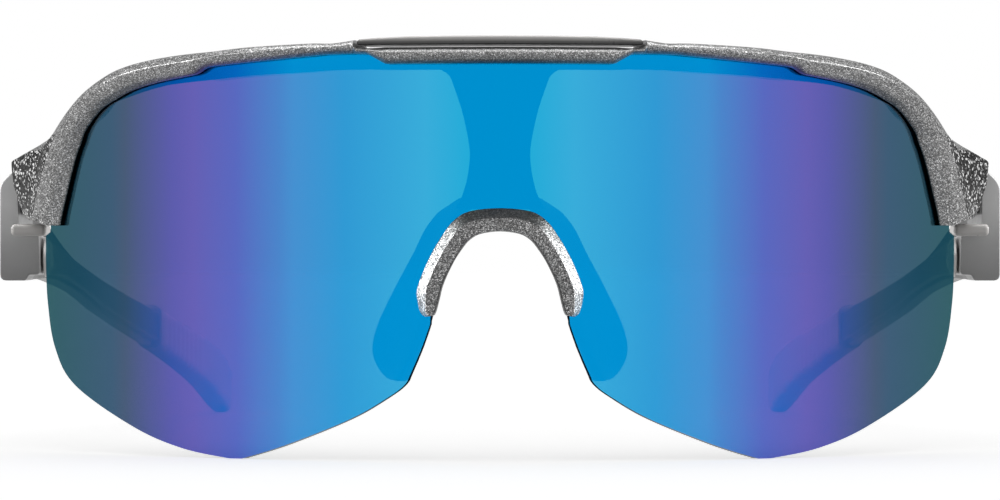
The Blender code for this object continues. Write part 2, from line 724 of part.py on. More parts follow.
def make_temple_tip(side, collection, tools, material):
    """Rubber sleeve over the end of the arm."""
    name = "temple_tip" + side_name(side)
    pivot = hinge_point(side)
    rows = smooth_rows(SLEEVE_STATIONS[:-1], 2) + [SLEEVE_STATIONS[-1]]
    sections = [box_section(side, row, 1.0) for row in rows]
    tip = add_object(name, mesh_from(loft_bmesh(sections), name, pivot), material, collection)
    tip.location = pivot
    sections = [box_section(side, row, SPIGOT_EDGE) for row in spigot_rows(FIT_GAP)]
    pocket = make_tool("cut_pocket" + side_name(side), loft_bmesh(sections), tools)
    boolean(tip, pocket, "DIFFERENCE")
    return tip


def hang_on_hinge(side, pieces, collection):
    """Parent a temple's pieces to an empty on its hinge axis."""
    pivot = hinge_point(side)
    axis = bpy.data.objects.new("hinge_axis" + side_name(side), None)
    axis.location = pivot
    axis.empty_display_size = 10 * MM
    collection.objects.link(axis)
    for piece in pieces:
        piece.parent = axis
        piece.matrix_parent_inverse = Matrix.Translation(-pivot)


def build():
    clear_scene()
    parts = make_collection("sport_sunglasses")
    tools = make_collection("cutters")
    fleck = make_material("speckled_frame", (0.18, 0.18, 0.18), 0.45)
    smooth_grey = make_material("smooth_grey_plastic", (0.22, 0.22, 0.22), 0.35)
    light_grey = make_material("light_grey_plastic", (0.34, 0.34, 0.34), 0.4)
    mirror = make_material("mirror_lens", (0.05, 0.35, 0.65), 0.05, 0.8)
    dark = make_material("dark_plastic", (0.01, 0.01, 0.012), 0.5)
    rubber = make_material("dark_rubber", (0.03, 0.03, 0.035), 0.75)
    pale_rubber = make_material("pale_rubber", (0.5, 0.5, 0.5), 0.7)
    steel = make_material("hinge_steel", (0.55, 0.55, 0.55), 0.3, 1.0)
    make_frame_front(parts, tools, fleck)
    make_brow_insert(parts, light_grey)
    make_lens(parts, mirror)
    make_nose_bridge(parts, dark)
    make_nosepiece_arch(parts, fleck)
    for side in (-1, 1):
        make_nose_pad(side, parts, rubber)
        make_endpiece_base(side, parts, smooth_grey)
        make_front_leaf(side, parts, tools, steel)
        make_leaf_screw("hinge_leaf_screw", side, FRONT_SCREW_SPOT, 4.2, parts, steel)
        make_hinge_screw(side, parts, steel)
        temple = [
            make_temple_leaf(side, parts, tools, steel),
            make_leaf_screw("temple_leaf_screw", side, TEMPLE_SCREW_SPOT, 2.9, parts, steel),
            make_temple_arm(side, parts, tools, smooth_grey),
            make_hinge_cap(side, parts, light_grey),
            make_temple_tip(side, parts, tools, pale_rubber),
        ]
        hang_on_hinge(side, temple, parts)


build()
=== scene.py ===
"""Looks of the wraparound sport sunglasses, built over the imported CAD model.

Metres, +Z up. The lens faces -Y and the temples run towards +Y.
Lengths in the tables are in millimetres, and MM turns them into metres. Their y is counted from
the front of the lens.
"""

import math

import bmesh
import bpy
from mathutils import Matrix, Vector


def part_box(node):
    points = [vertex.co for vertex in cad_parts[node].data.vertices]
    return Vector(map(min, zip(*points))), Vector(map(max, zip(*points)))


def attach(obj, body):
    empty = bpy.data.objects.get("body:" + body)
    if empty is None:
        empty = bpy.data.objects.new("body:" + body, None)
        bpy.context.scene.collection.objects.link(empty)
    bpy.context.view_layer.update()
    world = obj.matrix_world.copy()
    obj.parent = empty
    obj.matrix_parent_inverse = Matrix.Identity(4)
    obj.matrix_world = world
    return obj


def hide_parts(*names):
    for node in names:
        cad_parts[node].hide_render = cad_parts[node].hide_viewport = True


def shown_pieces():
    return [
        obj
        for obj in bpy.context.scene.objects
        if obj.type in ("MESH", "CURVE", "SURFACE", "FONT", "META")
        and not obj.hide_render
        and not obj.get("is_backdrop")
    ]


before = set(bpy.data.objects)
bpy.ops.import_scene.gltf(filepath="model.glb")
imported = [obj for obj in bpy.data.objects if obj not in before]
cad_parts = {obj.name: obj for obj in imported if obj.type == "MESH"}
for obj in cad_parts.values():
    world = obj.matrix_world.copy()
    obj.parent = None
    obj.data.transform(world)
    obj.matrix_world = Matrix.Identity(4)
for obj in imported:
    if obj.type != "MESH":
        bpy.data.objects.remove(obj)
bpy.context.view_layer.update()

MM = 0.001
LENS_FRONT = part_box("shield_lens")[0].y

# Lens, frame and fit
LENS_RADIUS = 88.0
LENS_THICKNESS = 2.0
FIT_GAP = 0.3
ENDPIECE_BACK_Y = 36.2
ENDPIECE_INSIDE_X = 64.2
ENDPIECE_LEAST_WALL = 3.2
ENDPIECE_GROOVE = 2.2
ENDPIECE_LIP = 1.55
ENDPIECE_LIP_REAR = 2.2
LIP_REAR_OUT = -3.5
STRIP_WIDTH = 0.8
SMOOTH_ANGLE = math.radians(38)

# The rim from the middle outwards: the edge on the lens side (x, z), the outer edge (x, z), how
# deep the lens groove is, and how far the lip behind the lens reaches past the edge.
BROW_STATIONS = [
    (0.0, 53.35, 0.0, 55.6, 1.0, 0.65),
    (7.5, 53.35, 7.5, 55.6, 1.0, 0.65),
    (14.9, 53.35, 14.9, 55.6, 1.0, 0.65),
    (15.3, 53.42, 15.3, 55.6, 1.0, 0.72),
    (17.2, 54.5, 17.0, 55.5, 0.55, 1.75),
    (17.6, 54.65, 17.4, 55.5, 0.5, 1.85),
    (18.9, 54.7, 18.9, 55.5, 0.45, 1.95),
    (19.25, 54.75, 19.25, 56.6, 0.9, 1.95),
]
RIM_STATIONS = [
    (19.3, 54.75, 19.3, 56.6, 0.9, 1.95),
    (22.8, 54.7, 22.5, 56.2, 0.9, 2.0),
    (25.5, 54.5, 24.8, 56.25, 0.9, 2.1),
    (30.5, 54.1, 29.5, 56.1, 0.9, 1.95),
    (35.5, 53.7, 34.5, 55.85, 0.9, 1.8),
    (39.4, 53.3, 38.6, 55.45, 0.9, 1.6),
    (41.2, 52.4, 41.5, 55.25, 1.2, 0.7),
    (43.5, 52.0, 44.6, 54.95, 1.5, 0.5),
    (47.0, 51.4, 48.8, 54.3, 1.7, 0.25),
    (50.4, 50.5, 52.2, 53.35, 1.9, 0.05),
    (53.0, 49.3, 55.2, 51.75, 2.2, -0.5),
    (54.9, 48.2, 57.5, 50.0, 2.5, -1.3),
    (56.6, 46.5, 59.8, 47.5, 2.8, -1.9),
]
# The endpiece in level sections: z, lens-side edge, outer edge of the band, corner, rear y, and how
# much lower its lens side is.
ENDPIECE_STATIONS = [
    (44.6, 57.9, 61.6, 62.3, 31.0, 0.0),
    (43.4, 58.3, 62.3, 64.2, 33.0, 0.0),
    (42.5, 58.7, 62.7, 66.1, 34.6, 0.0),
    (41.7, 59.0, 63.0, 67.8, 35.6, 0.0),
    (40.8, 59.3, 63.4, 69.2, ENDPIECE_BACK_Y, 0.0),
    (38.0, 60.1, 64.2, 68.9, ENDPIECE_BACK_Y, 0.0),
    (36.0, 60.6, 64.8, 68.2, ENDPIECE_BACK_Y, 0.0),
    (34.0, 61.2, 65.2, 67.4, ENDPIECE_BACK_Y, 0.2),
    (33.0, 61.5, 65.4, 66.7, ENDPIECE_BACK_Y, 0.6),
    (32.6, 61.6, 64.9, 66.0, ENDPIECE_BACK_Y - 0.4, 0.8),
]
# How round each of the thirteen edges of a rim section is.
RIM_ROUNDING = (0.15, 0.3, 0.9, 0.3, 0.9, 0.4, 0.4, 0.4, 0.3, 0.2, 0.02, 0.02, 0.02)

# The lens's free edge, as it is seen from the front.
LENS_SIDE_X = 64.3
LENS_STEP_Z = 30.8
LENS_OUTER_EDGE = [
    (64.3, 27.0), (64.0, 21.1), (62.8, 14.6), (59.6, 9.4), (50.7, 3.9), (43.6, 1.2), (36.9, 0.0),
]
LENS_INNER_EDGE = [
    (35.2, 0.0), (29.0, 2.0), (20.2, 5.6), (15.0, 8.6), (12.8, 10.3), (12.0, 11.8), (10.5, 15.3),
    (9.4, 18.4),
]
# The nosepiece from the middle down its side: inner edge (x, z) and outer edge (x, z).
ARCH_STATIONS = [
    (0.0, 30.9, 0.0, 34.0),
    (2.7, 30.5, 4.0, 33.6),
    (4.2, 29.6, 6.1, 32.4),
    (5.2, 28.3, 7.6, 30.5),
    (6.3, 26.4, 9.5, 27.2),
    (7.5, 23.8, 11.0, 23.4),
    (8.0, 21.8, 11.0, 21.6),
    (8.4, 20.3, 10.6, 20.0),
    (8.7, 19.7, 9.9, 19.4),
]
ARCH_WALL = 0.6
ARCH_ROUNDING = (0.02, 0.25, 0.15, 0.16, 0.2, 0.3, 0.25, 0.15, 0.3, 0.02, 0.02)
# The nose pad in level sections: z, its front edge x, its rear edge x.
PAD_STATIONS = [
    (35.6, 2.0, 4.9), (34.6, 3.1, 6.5), (33.4, 4.3, 8.2), (31.2, 5.7, 9.9), (28.0, 7.0, 11.5),
    (23.0, 8.1, 14.3), (18.0, 9.4, 16.7), (14.5, 10.8, 17.3), (12.0, 11.8, 16.2), (10.6, 12.6, 14.6),
]
PAD_FRONT_Y = 5.4
PAD_BACK_Y = 13.2
# The dark column behind the lens: half width and z.
BRIDGE_EDGE = [
    (8.2, 52.72), (7.05, 51.9), (6.4, 50.4), (5.3, 47.2), (4.45, 43.5), (4.2, 41.0), (4.6, 37.9),
    (5.4, 35.4), (6.3, 34.0),
]
BROW_INSERT_EDGE = [
    (0.0, 57.1), (7.0, 57.08), (12.5, 57.0), (16.5, 56.8), (18.5, 56.65), (18.85, 56.45),
    (18.85, 55.9), (0.0, 55.9),
]

# The temple from front to back: y, inner x, inner wall x, outer x, bottom z, shelf z, top z.
TEMPLE_STATIONS = [
    (36.8, 66.2, 69.6, 72.0, 24.0, 30.9, 40.0),
    (43.0, 66.2, 69.6, 72.1, 24.0, 30.5, 39.7),
    (51.0, 66.0, 69.3, 71.7, 24.1, 29.8, 37.2),
    (60.0, 64.8, 67.9, 70.2, 24.0, 28.0, 32.3),
    (70.0, 62.9, 65.0, 66.9, 21.9, 25.6, 27.1),
    (80.0, 60.9, 62.5, 64.4, 18.9, 23.4, 24.3),
    (90.0, 58.9, 60.4, 62.2, 16.5, 21.5, 22.2),
    (100.0, 57.0, 58.5, 60.3, 14.4, 19.8, 20.4),
    (107.7, 55.6, 57.1, 58.9, 12.9, 18.4, 19.0),
]
SLEEVE_STATIONS = [
    (108.0, 55.2, 59.2, 12.5, 19.4),
    (116.0, 53.8, 57.9, 10.9, 17.8),
    (128.0, 51.5, 55.7, 8.1, 15.5),
    (140.0, 49.2, 53.5, 4.9, 13.0),
    (149.0, 47.6, 51.8, 1.6, 10.4),
    (154.0, 47.1, 50.9, 0.0, 8.2),
    (157.0, 47.6, 50.1, 0.0, 5.0),
]
SLEEVE_RIB_PITCH = 2.6
SLEEVE_RIB_DEPTH = 0.28
SLEEVE_RIBS = (112.0, 133.0)


# ---------------------------------------------------------------- geometry helpers

def place(x, y, z):
    """Point from millimetres, with y counted from the front of the lens."""
    return Vector((x * MM, LENS_FRONT + y * MM, z * MM))


def arc_length(x):
    return LENS_RADIUS * math.asin(x / LENS_RADIUS)


def cylinder_point(across, z, out=0.0):
    """Point over the lens cylinder: arc length across the face, height, and how far in front."""
    angle = across / LENS_RADIUS
    reach = LENS_RADIUS + out
    return place(reach * math.sin(angle), LENS_RADIUS - reach * math.cos(angle), z)


def cylinder_spot(x, y, z):
    """The arc length, height and distance in front of the lens face of a point."""
    reach = math.hypot(x, LENS_RADIUS - y)
    return LENS_RADIUS * math.atan2(x, LENS_RADIUS - y), z, reach - LENS_RADIUS


def smooth_rows(rows, steps, lead=None):
    """Rows along a Catmull-Rom curve through the given rows of numbers."""
    result = []
    last = len(rows) - 1
    for index in range(last):
        before_row = rows[index - 1] if index > 0 else (lead or rows[0])
        corners = [before_row, rows[index], rows[index + 1], rows[min(index + 2, last)]]
        for step in range(steps):
            t = step / steps
            row = []
            for before, start, end, after in zip(*corners):
                slope_in = (end - before) / 2
                slope_out = (after - start) / 2
                row.append((2 * t**3 - 3 * t**2 + 1) * start + (t**3 - 2 * t**2 + t) * slope_in
                           + (3 * t**2 - 2 * t**3) * end + (t**3 - t**2) * slope_out)
            result.append(tuple(row))
    result.append(tuple(rows[-1]))
    return result


def eased_rows(rows, steps):
    """Rows along a curve through the given ones that never swings past them."""
    count = len(rows)
    columns = len(rows[0])
    slopes = []
    for index in range(count):
        slope = []
        for column in range(columns):
            before = rows[index][column] - rows[index - 1][column] if index > 0 else None
            after = rows[index + 1][column] - rows[index][column] if index < count - 1 else None
            if before is None or after is None:
                slope.append(after if before is None else before)
            elif before * after <= 0.0:
                slope.append(0.0)
            else:
                slope.append(2 * before * after / (before + after))
        slopes.append(slope)
    result = []
    for index in range(count - 1):
        for step in range(steps):
            t = step / steps
            row = []
            for column in range(columns):
                start = rows[index][column]
                end = rows[index + 1][column]
                row.append((2 * t**3 - 3 * t**2 + 1) * start + (t**3 - 2 * t**2 + t) * slopes[index][column]
                           + (3 * t**2 - 2 * t**3) * end + (t**3 - t**2) * slopes[index + 1][column])
            result.append(tuple(row))
    result.append(tuple(rows[-1]))
    return result


def rounded_ring(corners, radii, steps=3):
    """Closed ring whose corners are replaced by curves that start and end a radius away."""
    count = len(corners)
    ring = []
    for index, corner in enumerate(corners):
        to_before = corners[index - 1] - corner
        to_after = corners[(index + 1) % count] - corner
        radius = radii[index] * MM
        start = corner + to_before.normalized() * min(radius, 0.45 * to_before.length)
        end = corner + to_after.normalized() * min(radius, 0.45 * to_after.length)
        for step in range(steps + 1):
            t = step / steps
            ring.append((1 - t)**2 * start + 2 * t * (1 - t) * corner + t**2 * end)
    return ring


def middle_of(ring):
    return sum(ring, Vector()) / len(ring)


def round_last(rings, radius, steps=3):
    """Let a loft shrink over its last stretch, so that its end face has a round edge."""
    last = rings[-1]
    centre = middle_of(last)
    forward = (centre - middle_of(rings[-2])).normalized()
    size = radius * MM
    result = rings[:-1]
    for step in range(steps + 1):
        angle = math.pi / 2 * step / steps
        shift = forward * size * (math.sin(angle) - 1)
        inset = size * (1 - math.cos(angle))
        ring = []
        for point in last:
            inward = centre - point
            ring.append(point + inward.normalized() * min(inset, 0.8 * inward.length) + shift)
        result.append(ring)
    return result


def round_both(rings, radius):
    turned = round_last(list(reversed(round_last(rings, radius))), radius)
    return list(reversed(turned))


def close_mesh(bm, name, merge=0.000002):
    """Weld a bmesh, turn its faces outwards and store it."""
    bmesh.ops.remove_doubles(bm, verts=bm.verts, dist=merge)
    bmesh.ops.dissolve_degenerate(bm, edges=bm.edges, dist=merge)
    bmesh.ops.recalc_face_normals(bm, faces=bm.faces)
    if bm.calc_volume(signed=True) < 0.0:
        bmesh.ops.reverse_faces(bm, faces=bm.faces)
    mesh = bpy.data.meshes.new(name)
    bm.to_mesh(mesh)
    bm.free()
    return mesh


def loft(rings, open_start=False):
    bm = bmesh.new()
    verts = [[bm.verts.new(point) for point in ring] for ring in rings]
    count = len(verts[0])
    for ring, following in zip(verts, verts[1:]):
        for index in range(count):
            after = (index + 1) % count
            bm.faces.new((ring[index], ring[after], following[after], following[index]))
    if not open_start:
        bm.faces.new(verts[0])
    bm.faces.new(verts[-1])
    return bm


def shade(piece, angle=SMOOTH_ANGLE):
    piece.data.shade_smooth()
    piece.data.set_sharp_from_angle(angle=angle)
    weights = piece.modifiers.new("Even shading", "WEIGHTED_NORMAL")
    weights.keep_sharp = True
    return piece


def apply_modifiers(piece):
    """Replace a piece's mesh with what its modifiers make of it."""
    bpy.context.view_layer.update()
    evaluated = piece.evaluated_get(bpy.context.evaluated_depsgraph_get())
    mesh = bpy.data.meshes.new_from_object(evaluated)
    piece.modifiers.clear()
    piece.data = mesh
    return piece


def add_piece(name, mesh, materials, body, nodes):
    """Put a piece in the scene, on a body, in place of CAD nodes."""
    for material in materials:
        mesh.materials.append(material)
    piece = bpy.data.objects.new(name, mesh)
    bpy.context.scene.collection.objects.link(piece)
    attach(piece, body)
    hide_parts(*nodes)
    return piece


def mirror_across_middle(piece):
    modifier = piece.modifiers.new("Other side", "MIRROR")
    modifier.merge_threshold = 0.00001


def bevel(piece, width, segments, angle=SMOOTH_ANGLE):
    modifier = piece.modifiers.new("Edges", "BEVEL")
    modifier.width = width * MM
    modifier.segments = segments
    modifier.limit_method = "ANGLE"
    modifier.angle_limit = angle
    modifier.harden_normals = False
    return modifier


def side_name(side):
    return "_left" if side < 0 else "_right"


def bent_sheet(half, out):
    """Open sheet over the lens cylinder: a flat outline cut into upright strips, then bent."""
    outline = half + [(-x, z) for x, z in reversed(half) if x > 0.0]
    bm = bmesh.new()
    bm.faces.new([bm.verts.new((arc_length(x), 0.0, z)) for x, z in outline])
    count = int(max(vert.co.x for vert in bm.verts) / STRIP_WIDTH)
    for index in range(-count, count + 1):
        bmesh.ops.bisect_plane(bm, geom=bm.verts[:] + bm.edges[:] + bm.faces[:], dist=0.001,
                               plane_co=(index * STRIP_WIDTH, 0.0, 0.0), plane_no=(1.0, 0.0, 0.0))
    for vert in bm.verts:
        vert.co = cylinder_point(vert.co.x, vert.co.z, out)
    bmesh.ops.recalc_face_normals(bm, faces=bm.faces)
    if sum(face.normal.y * face.calc_area() for face in bm.faces) > 0.0:
        bmesh.ops.reverse_faces(bm, faces=bm.faces)
    return bm


def thick_sheet(name, half, out, thickness, edge, segments, materials, body, nodes):
    """Bent sheet with a thickness and round edges."""
    mesh = bpy.data.meshes.new(name)
    bm = bent_sheet(half, out)
    bm.to_mesh(mesh)
    bm.free()
    piece = add_piece(name, mesh, materials, body, nodes)
    solid = piece.modifiers.new("Thickness", "SOLIDIFY")
    solid.thickness = thickness * MM
    solid.offset = -1.0
    solid.use_even_offset = True
    if len(materials) == 3:
        solid.material_offset = 1
        solid.material_offset_rim = 2
    bevel(piece, edge, segments, math.radians(55))
    apply_modifiers(piece)
    return shade(piece)


# ---------------------------------------------------------------- materials

# Colours of the coating across the lens, by distance from the middle in mm: sky blue, deep blue and dark
# teal are reflected, and green, dull red and slate are let through. The reflected colours also hold a
# painted reflection: their darkening towards the sides stands in for the darker surroundings reflected
# there.
COATING_REFLECTS = [
    (0.0, (0.0, 0.28, 0.62)), (28.0, (0.0, 0.27, 0.63)), (36.0, (0.0, 0.13, 0.5)),
    (45.0, (0.0, 0.08, 0.36)), (52.0, (0.01, 0.06, 0.12)), (64.0, (0.0, 0.05, 0.08)),
]
COATING_PASSES = [
    (0.0, (0.0, 0.13, 0.06)), (10.0, (0.04, 0.14, 0.08)), (21.0, (0.03, 0.05, 0.03)),
    (30.0, (0.07, 0.0, 0.0)), (42.0, (0.13, 0.02, 0.05)), (54.0, (0.04, 0.05, 0.07)),
    (64.0, (0.03, 0.06, 0.05)),
]
LENS_EDGE_X = 64.4
SEE_THROUGH = 0.33
SMOKE = (0.13, 0.135, 0.14)
TINT_INSIDE = 0.5
INSIDE_SHARE = 0.9
EDGE_SHARE = 0.93
# How bright the flakes are, from the darkest cell to the brightest: the front and the endpiece's side.
FLAKE_STOPS = [
    (0.0, (0.03,) * 3), (0.4, (0.11,) * 3), (0.7, (0.23,) * 3), (0.92, (0.44,) * 3), (1.0, (0.85,) * 3),
]
COARSE_STOPS = [
    (0.0, (0.008,) * 3), (0.55, (0.02,) * 3), (0.78, (0.06,) * 3), (0.86, (0.5,) * 3), (1.0, (1.0,) * 3),
]
# Painted light and shade by the direction in which a face looks: painted shade on faces towards the lens and
# on up-facing faces, painted highlight on faces that look sideways.
RIM_CENTRE_Z = 22.0
LENS_SIDE_PAINTED_SHADE = [
    (0.2, (1.0,) * 3), (0.5, (0.75,) * 3), (0.75, (0.4,) * 3), (0.9, (0.14,) * 3), (0.98, (0.02,) * 3),
]
NOSEPIECE_UP_PAINTED_SHADE = [(0.25, (1.0,) * 3), (0.45, (0.4,) * 3), (0.62, (0.16,) * 3), (0.9, (0.1,) * 3)]
NOSEPIECE_SIDE_SHADE_AND_HIGHLIGHT = [
    (0.1, (0.08,) * 3), (0.35, (0.32,) * 3), (0.65, (0.32,) * 3), (0.74, (0.6,) * 3), (0.8, (1.0,) * 3),
]
NOSEPIECE_HIGHLIGHT_GAIN = 3.0
BROW_TOP_PAINTED_SHADE = [(0.25, (1.0,) * 3), (0.5, (0.75,) * 3), (0.8, (0.3,) * 3), (1.0, (0.25,) * 3)]
BROW_SPAN = [(17.0 / LENS_EDGE_X, (1.0,) * 3), (20.0 / LENS_EDGE_X, (0.0,) * 3)]
# Painted light and shade on the brow strip from its foot to its top: painted shade at the foot, painted
# light towards the top.
STRIP_PAINTED_LIGHT_AND_SHADE = [(0.0, (0.02,) * 3), (0.3, (0.05, 0.049, 0.048)), (0.5, (0.20, 0.196, 0.19)),
               (0.75, (0.42, 0.41, 0.40)), (1.0, (0.68, 0.665, 0.65))]
# Painted light and shade on the temple by height and by distance behind the front of the lens, in mm, and
# painted shade on its flank.
TEMPLE_LENGTH_Y = 160.0
TEMPLE_HEIGHT_Z = 40.0
HEIGHT_PAINTED_LIGHT_AND_SHADE = [(0.0, 0.62), (22.0, 0.62), (24.5, 0.40), (29.0, 0.6), (35.0, 1.0), (40.0, 1.0)]
OUTER_PAINTED_LIGHT = [(36.0, 0.48), (62.0, 0.5), (84.0, 0.75), (108.0, 0.85)]
INNER_PAINTED_SHADE_AND_LIGHT = [(36.0, 0.012), (66.0, 0.012), (80.0, 0.55), (92.0, 0.8)]
FLANK_PAINTED_SHADE = [(0.75, (1.0,) * 3), (0.97, (0.35,) * 3)]
SLEEVE_PALE = (0.62, 0.62, 0.62)
SLEEVE_FLANK_SHADE = (0.28, 0.28, 0.28)


class Nodes:
    """Short way to add and join shader nodes."""

    def __init__(self, material):
        material.use_nodes = True
        self.tree = material.node_tree
        self.shader = self.tree.nodes["Principled BSDF"]

    def add(self, kind, settings=None, **inputs):
        node = self.tree.nodes.new(kind)
        for key, value in (settings or {}).items():
            setattr(node, key, value)
        for key, value in inputs.items():
            self.feed(node.inputs[key.replace("_", " ")], value)
        return node

    def feed(self, socket, value):
        if isinstance(value, bpy.types.NodeSocket):
            self.tree.links.new(value, socket)
        else:
            socket.default_value = value

    def maths(self, operation, first, second=0.5):
        node = self.add("ShaderNodeMath", {"operation": operation})
        self.feed(node.inputs[0], first)
        self.feed(node.inputs[1], second)
        return node.outputs[0]

    def vector(self, operation, first, second):
        node = self.add("ShaderNodeVectorMath", {"operation": operation})
        self.feed(node.inputs[0], first)
        if operation == "SCALE":
            self.feed(node.inputs["Scale"], second)
        else:
            self.feed(node.inputs[1], second)
        return node.outputs[0]

    def ramp(self, factor, stops):
        node = self.add("ShaderNodeValToRGB", Fac=factor)
        band = node.color_ramp
        while len(band.elements) < len(stops):
            band.elements.new(0.5)
        for element, (position, colour) in zip(band.elements, stops):
            element.position = position
            element.color = (*colour, 1.0) if len(colour) == 3 else colour
        return node.outputs["Color"]

    def place(self):
        return self.add("ShaderNodeTexCoord").outputs["Object"]

    def noise(self, scale, detail=2.0, roughness=0.5, vector=None):
        return self.add("ShaderNodeTexNoise", Vector=vector or self.place(), Scale=scale, Detail=detail,
                        Roughness=roughness)

    def cells(self, scale, vector=None):
        return self.add("ShaderNodeTexVoronoi", Vector=vector or self.place(), Scale=scale)

    def mix(self, factor, first, second, blend="MIX"):
        node = self.add("ShaderNodeMix", {"data_type": "RGBA", "blend_type": blend})
        self.feed(node.inputs[0], factor)
        self.feed(node.inputs[6], first)
        self.feed(node.inputs[7], second)
        return node.outputs[2]

    def bump(self, height, strength, distance):
        node = self.add("ShaderNodeBump", Height=height, Strength=strength, Distance=distance)
        return node.outputs["Normal"]


def grey(value):
    return (value, value, value, 1.0)


def new_material(name, roughness=0.4, metallic=0.0):
    material = bpy.data.materials.new(name)
    nodes = Nodes(material)
    nodes.shader.inputs["Roughness"].default_value = roughness
    nodes.shader.inputs["Metallic"].default_value = metallic
    return material, nodes


def towards_lens_painted_shade(nodes):
    """Painted shade that darkens faces turned towards the middle of the lens, where the rim's lens side lies
    in shade.
    """
    parts = nodes.add("ShaderNodeSeparateXYZ", Vector=nodes.place())
    aim = nodes.add("ShaderNodeCombineXYZ", Z=nodes.maths("SUBTRACT", RIM_CENTRE_Z * MM, parts.outputs[2]))
    nodes.feed(aim.inputs["X"], nodes.maths("MULTIPLY", parts.outputs[0], -1.0))
    aim = nodes.vector("NORMALIZE", aim.outputs[0], (0.0, 0.0, 0.0))
    turned = nodes.add("ShaderNodeVectorMath", {"operation": "DOT_PRODUCT"})
    nodes.feed(turned.inputs[0], nodes.add("ShaderNodeNewGeometry").outputs["Normal"])
    nodes.feed(turned.inputs[1], aim)
    return nodes.ramp(turned.outputs["Value"], LENS_SIDE_PAINTED_SHADE)


def frame_painted_shade(nodes):
    """Painted shade on the frame: darker on faces turned towards the lens, and darker on the up-facing top
    of the brow, which dims the light from above.
    """
    normal = nodes.add("ShaderNodeSeparateXYZ",
                       Vector=nodes.add("ShaderNodeNewGeometry").outputs["Normal"])
    middle = nodes.ramp(across_lens(nodes), BROW_SPAN)
    up = nodes.ramp(normal.outputs[2], BROW_TOP_PAINTED_SHADE)
    tone = towards_lens_painted_shade(nodes)
    return nodes.mix(middle, tone, nodes.mix(1.0, tone, up, "MULTIPLY"))


def nosepiece_shade_and_highlight(nodes):
    """Painted shade and highlight on the nosepiece: painted shade where it faces up, and a painted highlight
    where it faces sideways.
    """
    normal = nodes.add("ShaderNodeSeparateXYZ",
                       Vector=nodes.add("ShaderNodeNewGeometry").outputs["Normal"])
    up = nodes.ramp(normal.outputs[2], NOSEPIECE_UP_PAINTED_SHADE)
    parts = nodes.add("ShaderNodeSeparateXYZ", Vector=nodes.place())
    outwards = nodes.maths("MULTIPLY", nodes.maths("SIGN", parts.outputs[0]), normal.outputs[0])
    share = nodes.maths("MULTIPLY", nodes.maths("ADD", outwards, 1.0), 0.5)
    return nodes.mix(1.0, up, nodes.ramp(share, NOSEPIECE_SIDE_SHADE_AND_HIGHLIGHT), "MULTIPLY")


def speckled_plastic(name, cell_size, stops, tilt, roughness=0.38, metallic=0.55, tone=None, gain=1.0,
                     coat=0.0, specular=0.5):
    """Grey nylon full of metal flakes: each flake has its own brightness and its own tilt."""
    material, nodes = new_material(name, roughness, metallic)
    nodes.shader.inputs["Coat Weight"].default_value = coat
    nodes.shader.inputs["Coat Roughness"].default_value = 0.1
    nodes.shader.inputs["Specular IOR Level"].default_value = specular
    place_output = nodes.place()
    warp = nodes.noise(0.6 / (cell_size * MM), 1.0, 0.5, place_output).outputs["Color"]
    shift = nodes.vector("SCALE", nodes.vector("SUBTRACT", warp, (0.5, 0.5, 0.5)), cell_size * MM)
    spot = nodes.vector("ADD", place_output, shift)
    flakes = nodes.cells(1.0 / (cell_size * MM), spot)
    parts = nodes.add("ShaderNodeSeparateColor", Color=flakes.outputs["Color"])
    colour = nodes.ramp(parts.outputs[0], stops)
    cloud = nodes.noise(0.35 / (cell_size * MM), 2.0, 0.6, place_output).outputs["Fac"]
    shade_factor = nodes.maths("MULTIPLY_ADD", cloud, 0.9)
    shade_factor.node.inputs[2].default_value = 0.55
    colour = nodes.mix(1.0, colour, shade_factor, "MULTIPLY")
    # A tone, when given, multiplies in painted shade and painted highlight by the way a face looks; gain
    # brightens it further.
    if tone:
        colour = nodes.vector("SCALE", nodes.mix(1.0, colour, tone(nodes), "MULTIPLY"), gain)
    nodes.feed(nodes.shader.inputs["Base Color"], colour)
    turn = nodes.vector("SUBTRACT", flakes.outputs["Color"], (0.5, 0.5, 0.5))
    turn = nodes.vector("SCALE", turn, tilt)
    normal = nodes.add("ShaderNodeNewGeometry").outputs["Normal"]
    normal = nodes.vector("NORMALIZE", nodes.vector("ADD", normal, turn), (0.0, 0.0, 0.0))
    nodes.feed(nodes.shader.inputs["Normal"], normal)
    rough = nodes.maths("MULTIPLY_ADD", parts.outputs[1], 0.25)
    rough.node.inputs[2].default_value = roughness - 0.12
    nodes.feed(nodes.shader.inputs["Roughness"], rough)
    return material


def smooth_plastic(name, dark, light, roughness, grain=0.12):
    """Satin moulded plastic with faint flow clouds and a fine grain."""
    material, nodes = new_material(name, roughness)
    cloud = nodes.noise(120.0, 3.0, 0.6).outputs["Fac"]
    nodes.feed(nodes.shader.inputs["Base Color"], nodes.ramp(cloud, [(0.3, dark), (0.7, light)]))
    fine = nodes.noise(5200.0, 2.0, 0.6).outputs["Fac"]
    nodes.feed(nodes.shader.inputs["Normal"], nodes.bump(fine, grain, 0.00004))
    rough = nodes.maths("MULTIPLY_ADD", nodes.noise(900.0, 2.0, 0.5).outputs["Fac"], 0.16)
    rough.node.inputs[2].default_value = roughness - 0.08
    nodes.feed(nodes.shader.inputs["Roughness"], rough)
    return material


def rubber_material(name, dark, light):
    """Matte soft rubber with a fine leathery grain."""
    material, nodes = new_material(name, 0.72)
    cloud = nodes.noise(260.0, 3.0, 0.65).outputs["Fac"]
    nodes.feed(nodes.shader.inputs["Base Color"], nodes.ramp(cloud, [(0.3, dark), (0.75, light)]))
    grain = nodes.cells(2600.0).outputs["Distance"]
    nodes.feed(nodes.shader.inputs["Normal"], nodes.bump(grain, 0.35, 0.00006))
    return material


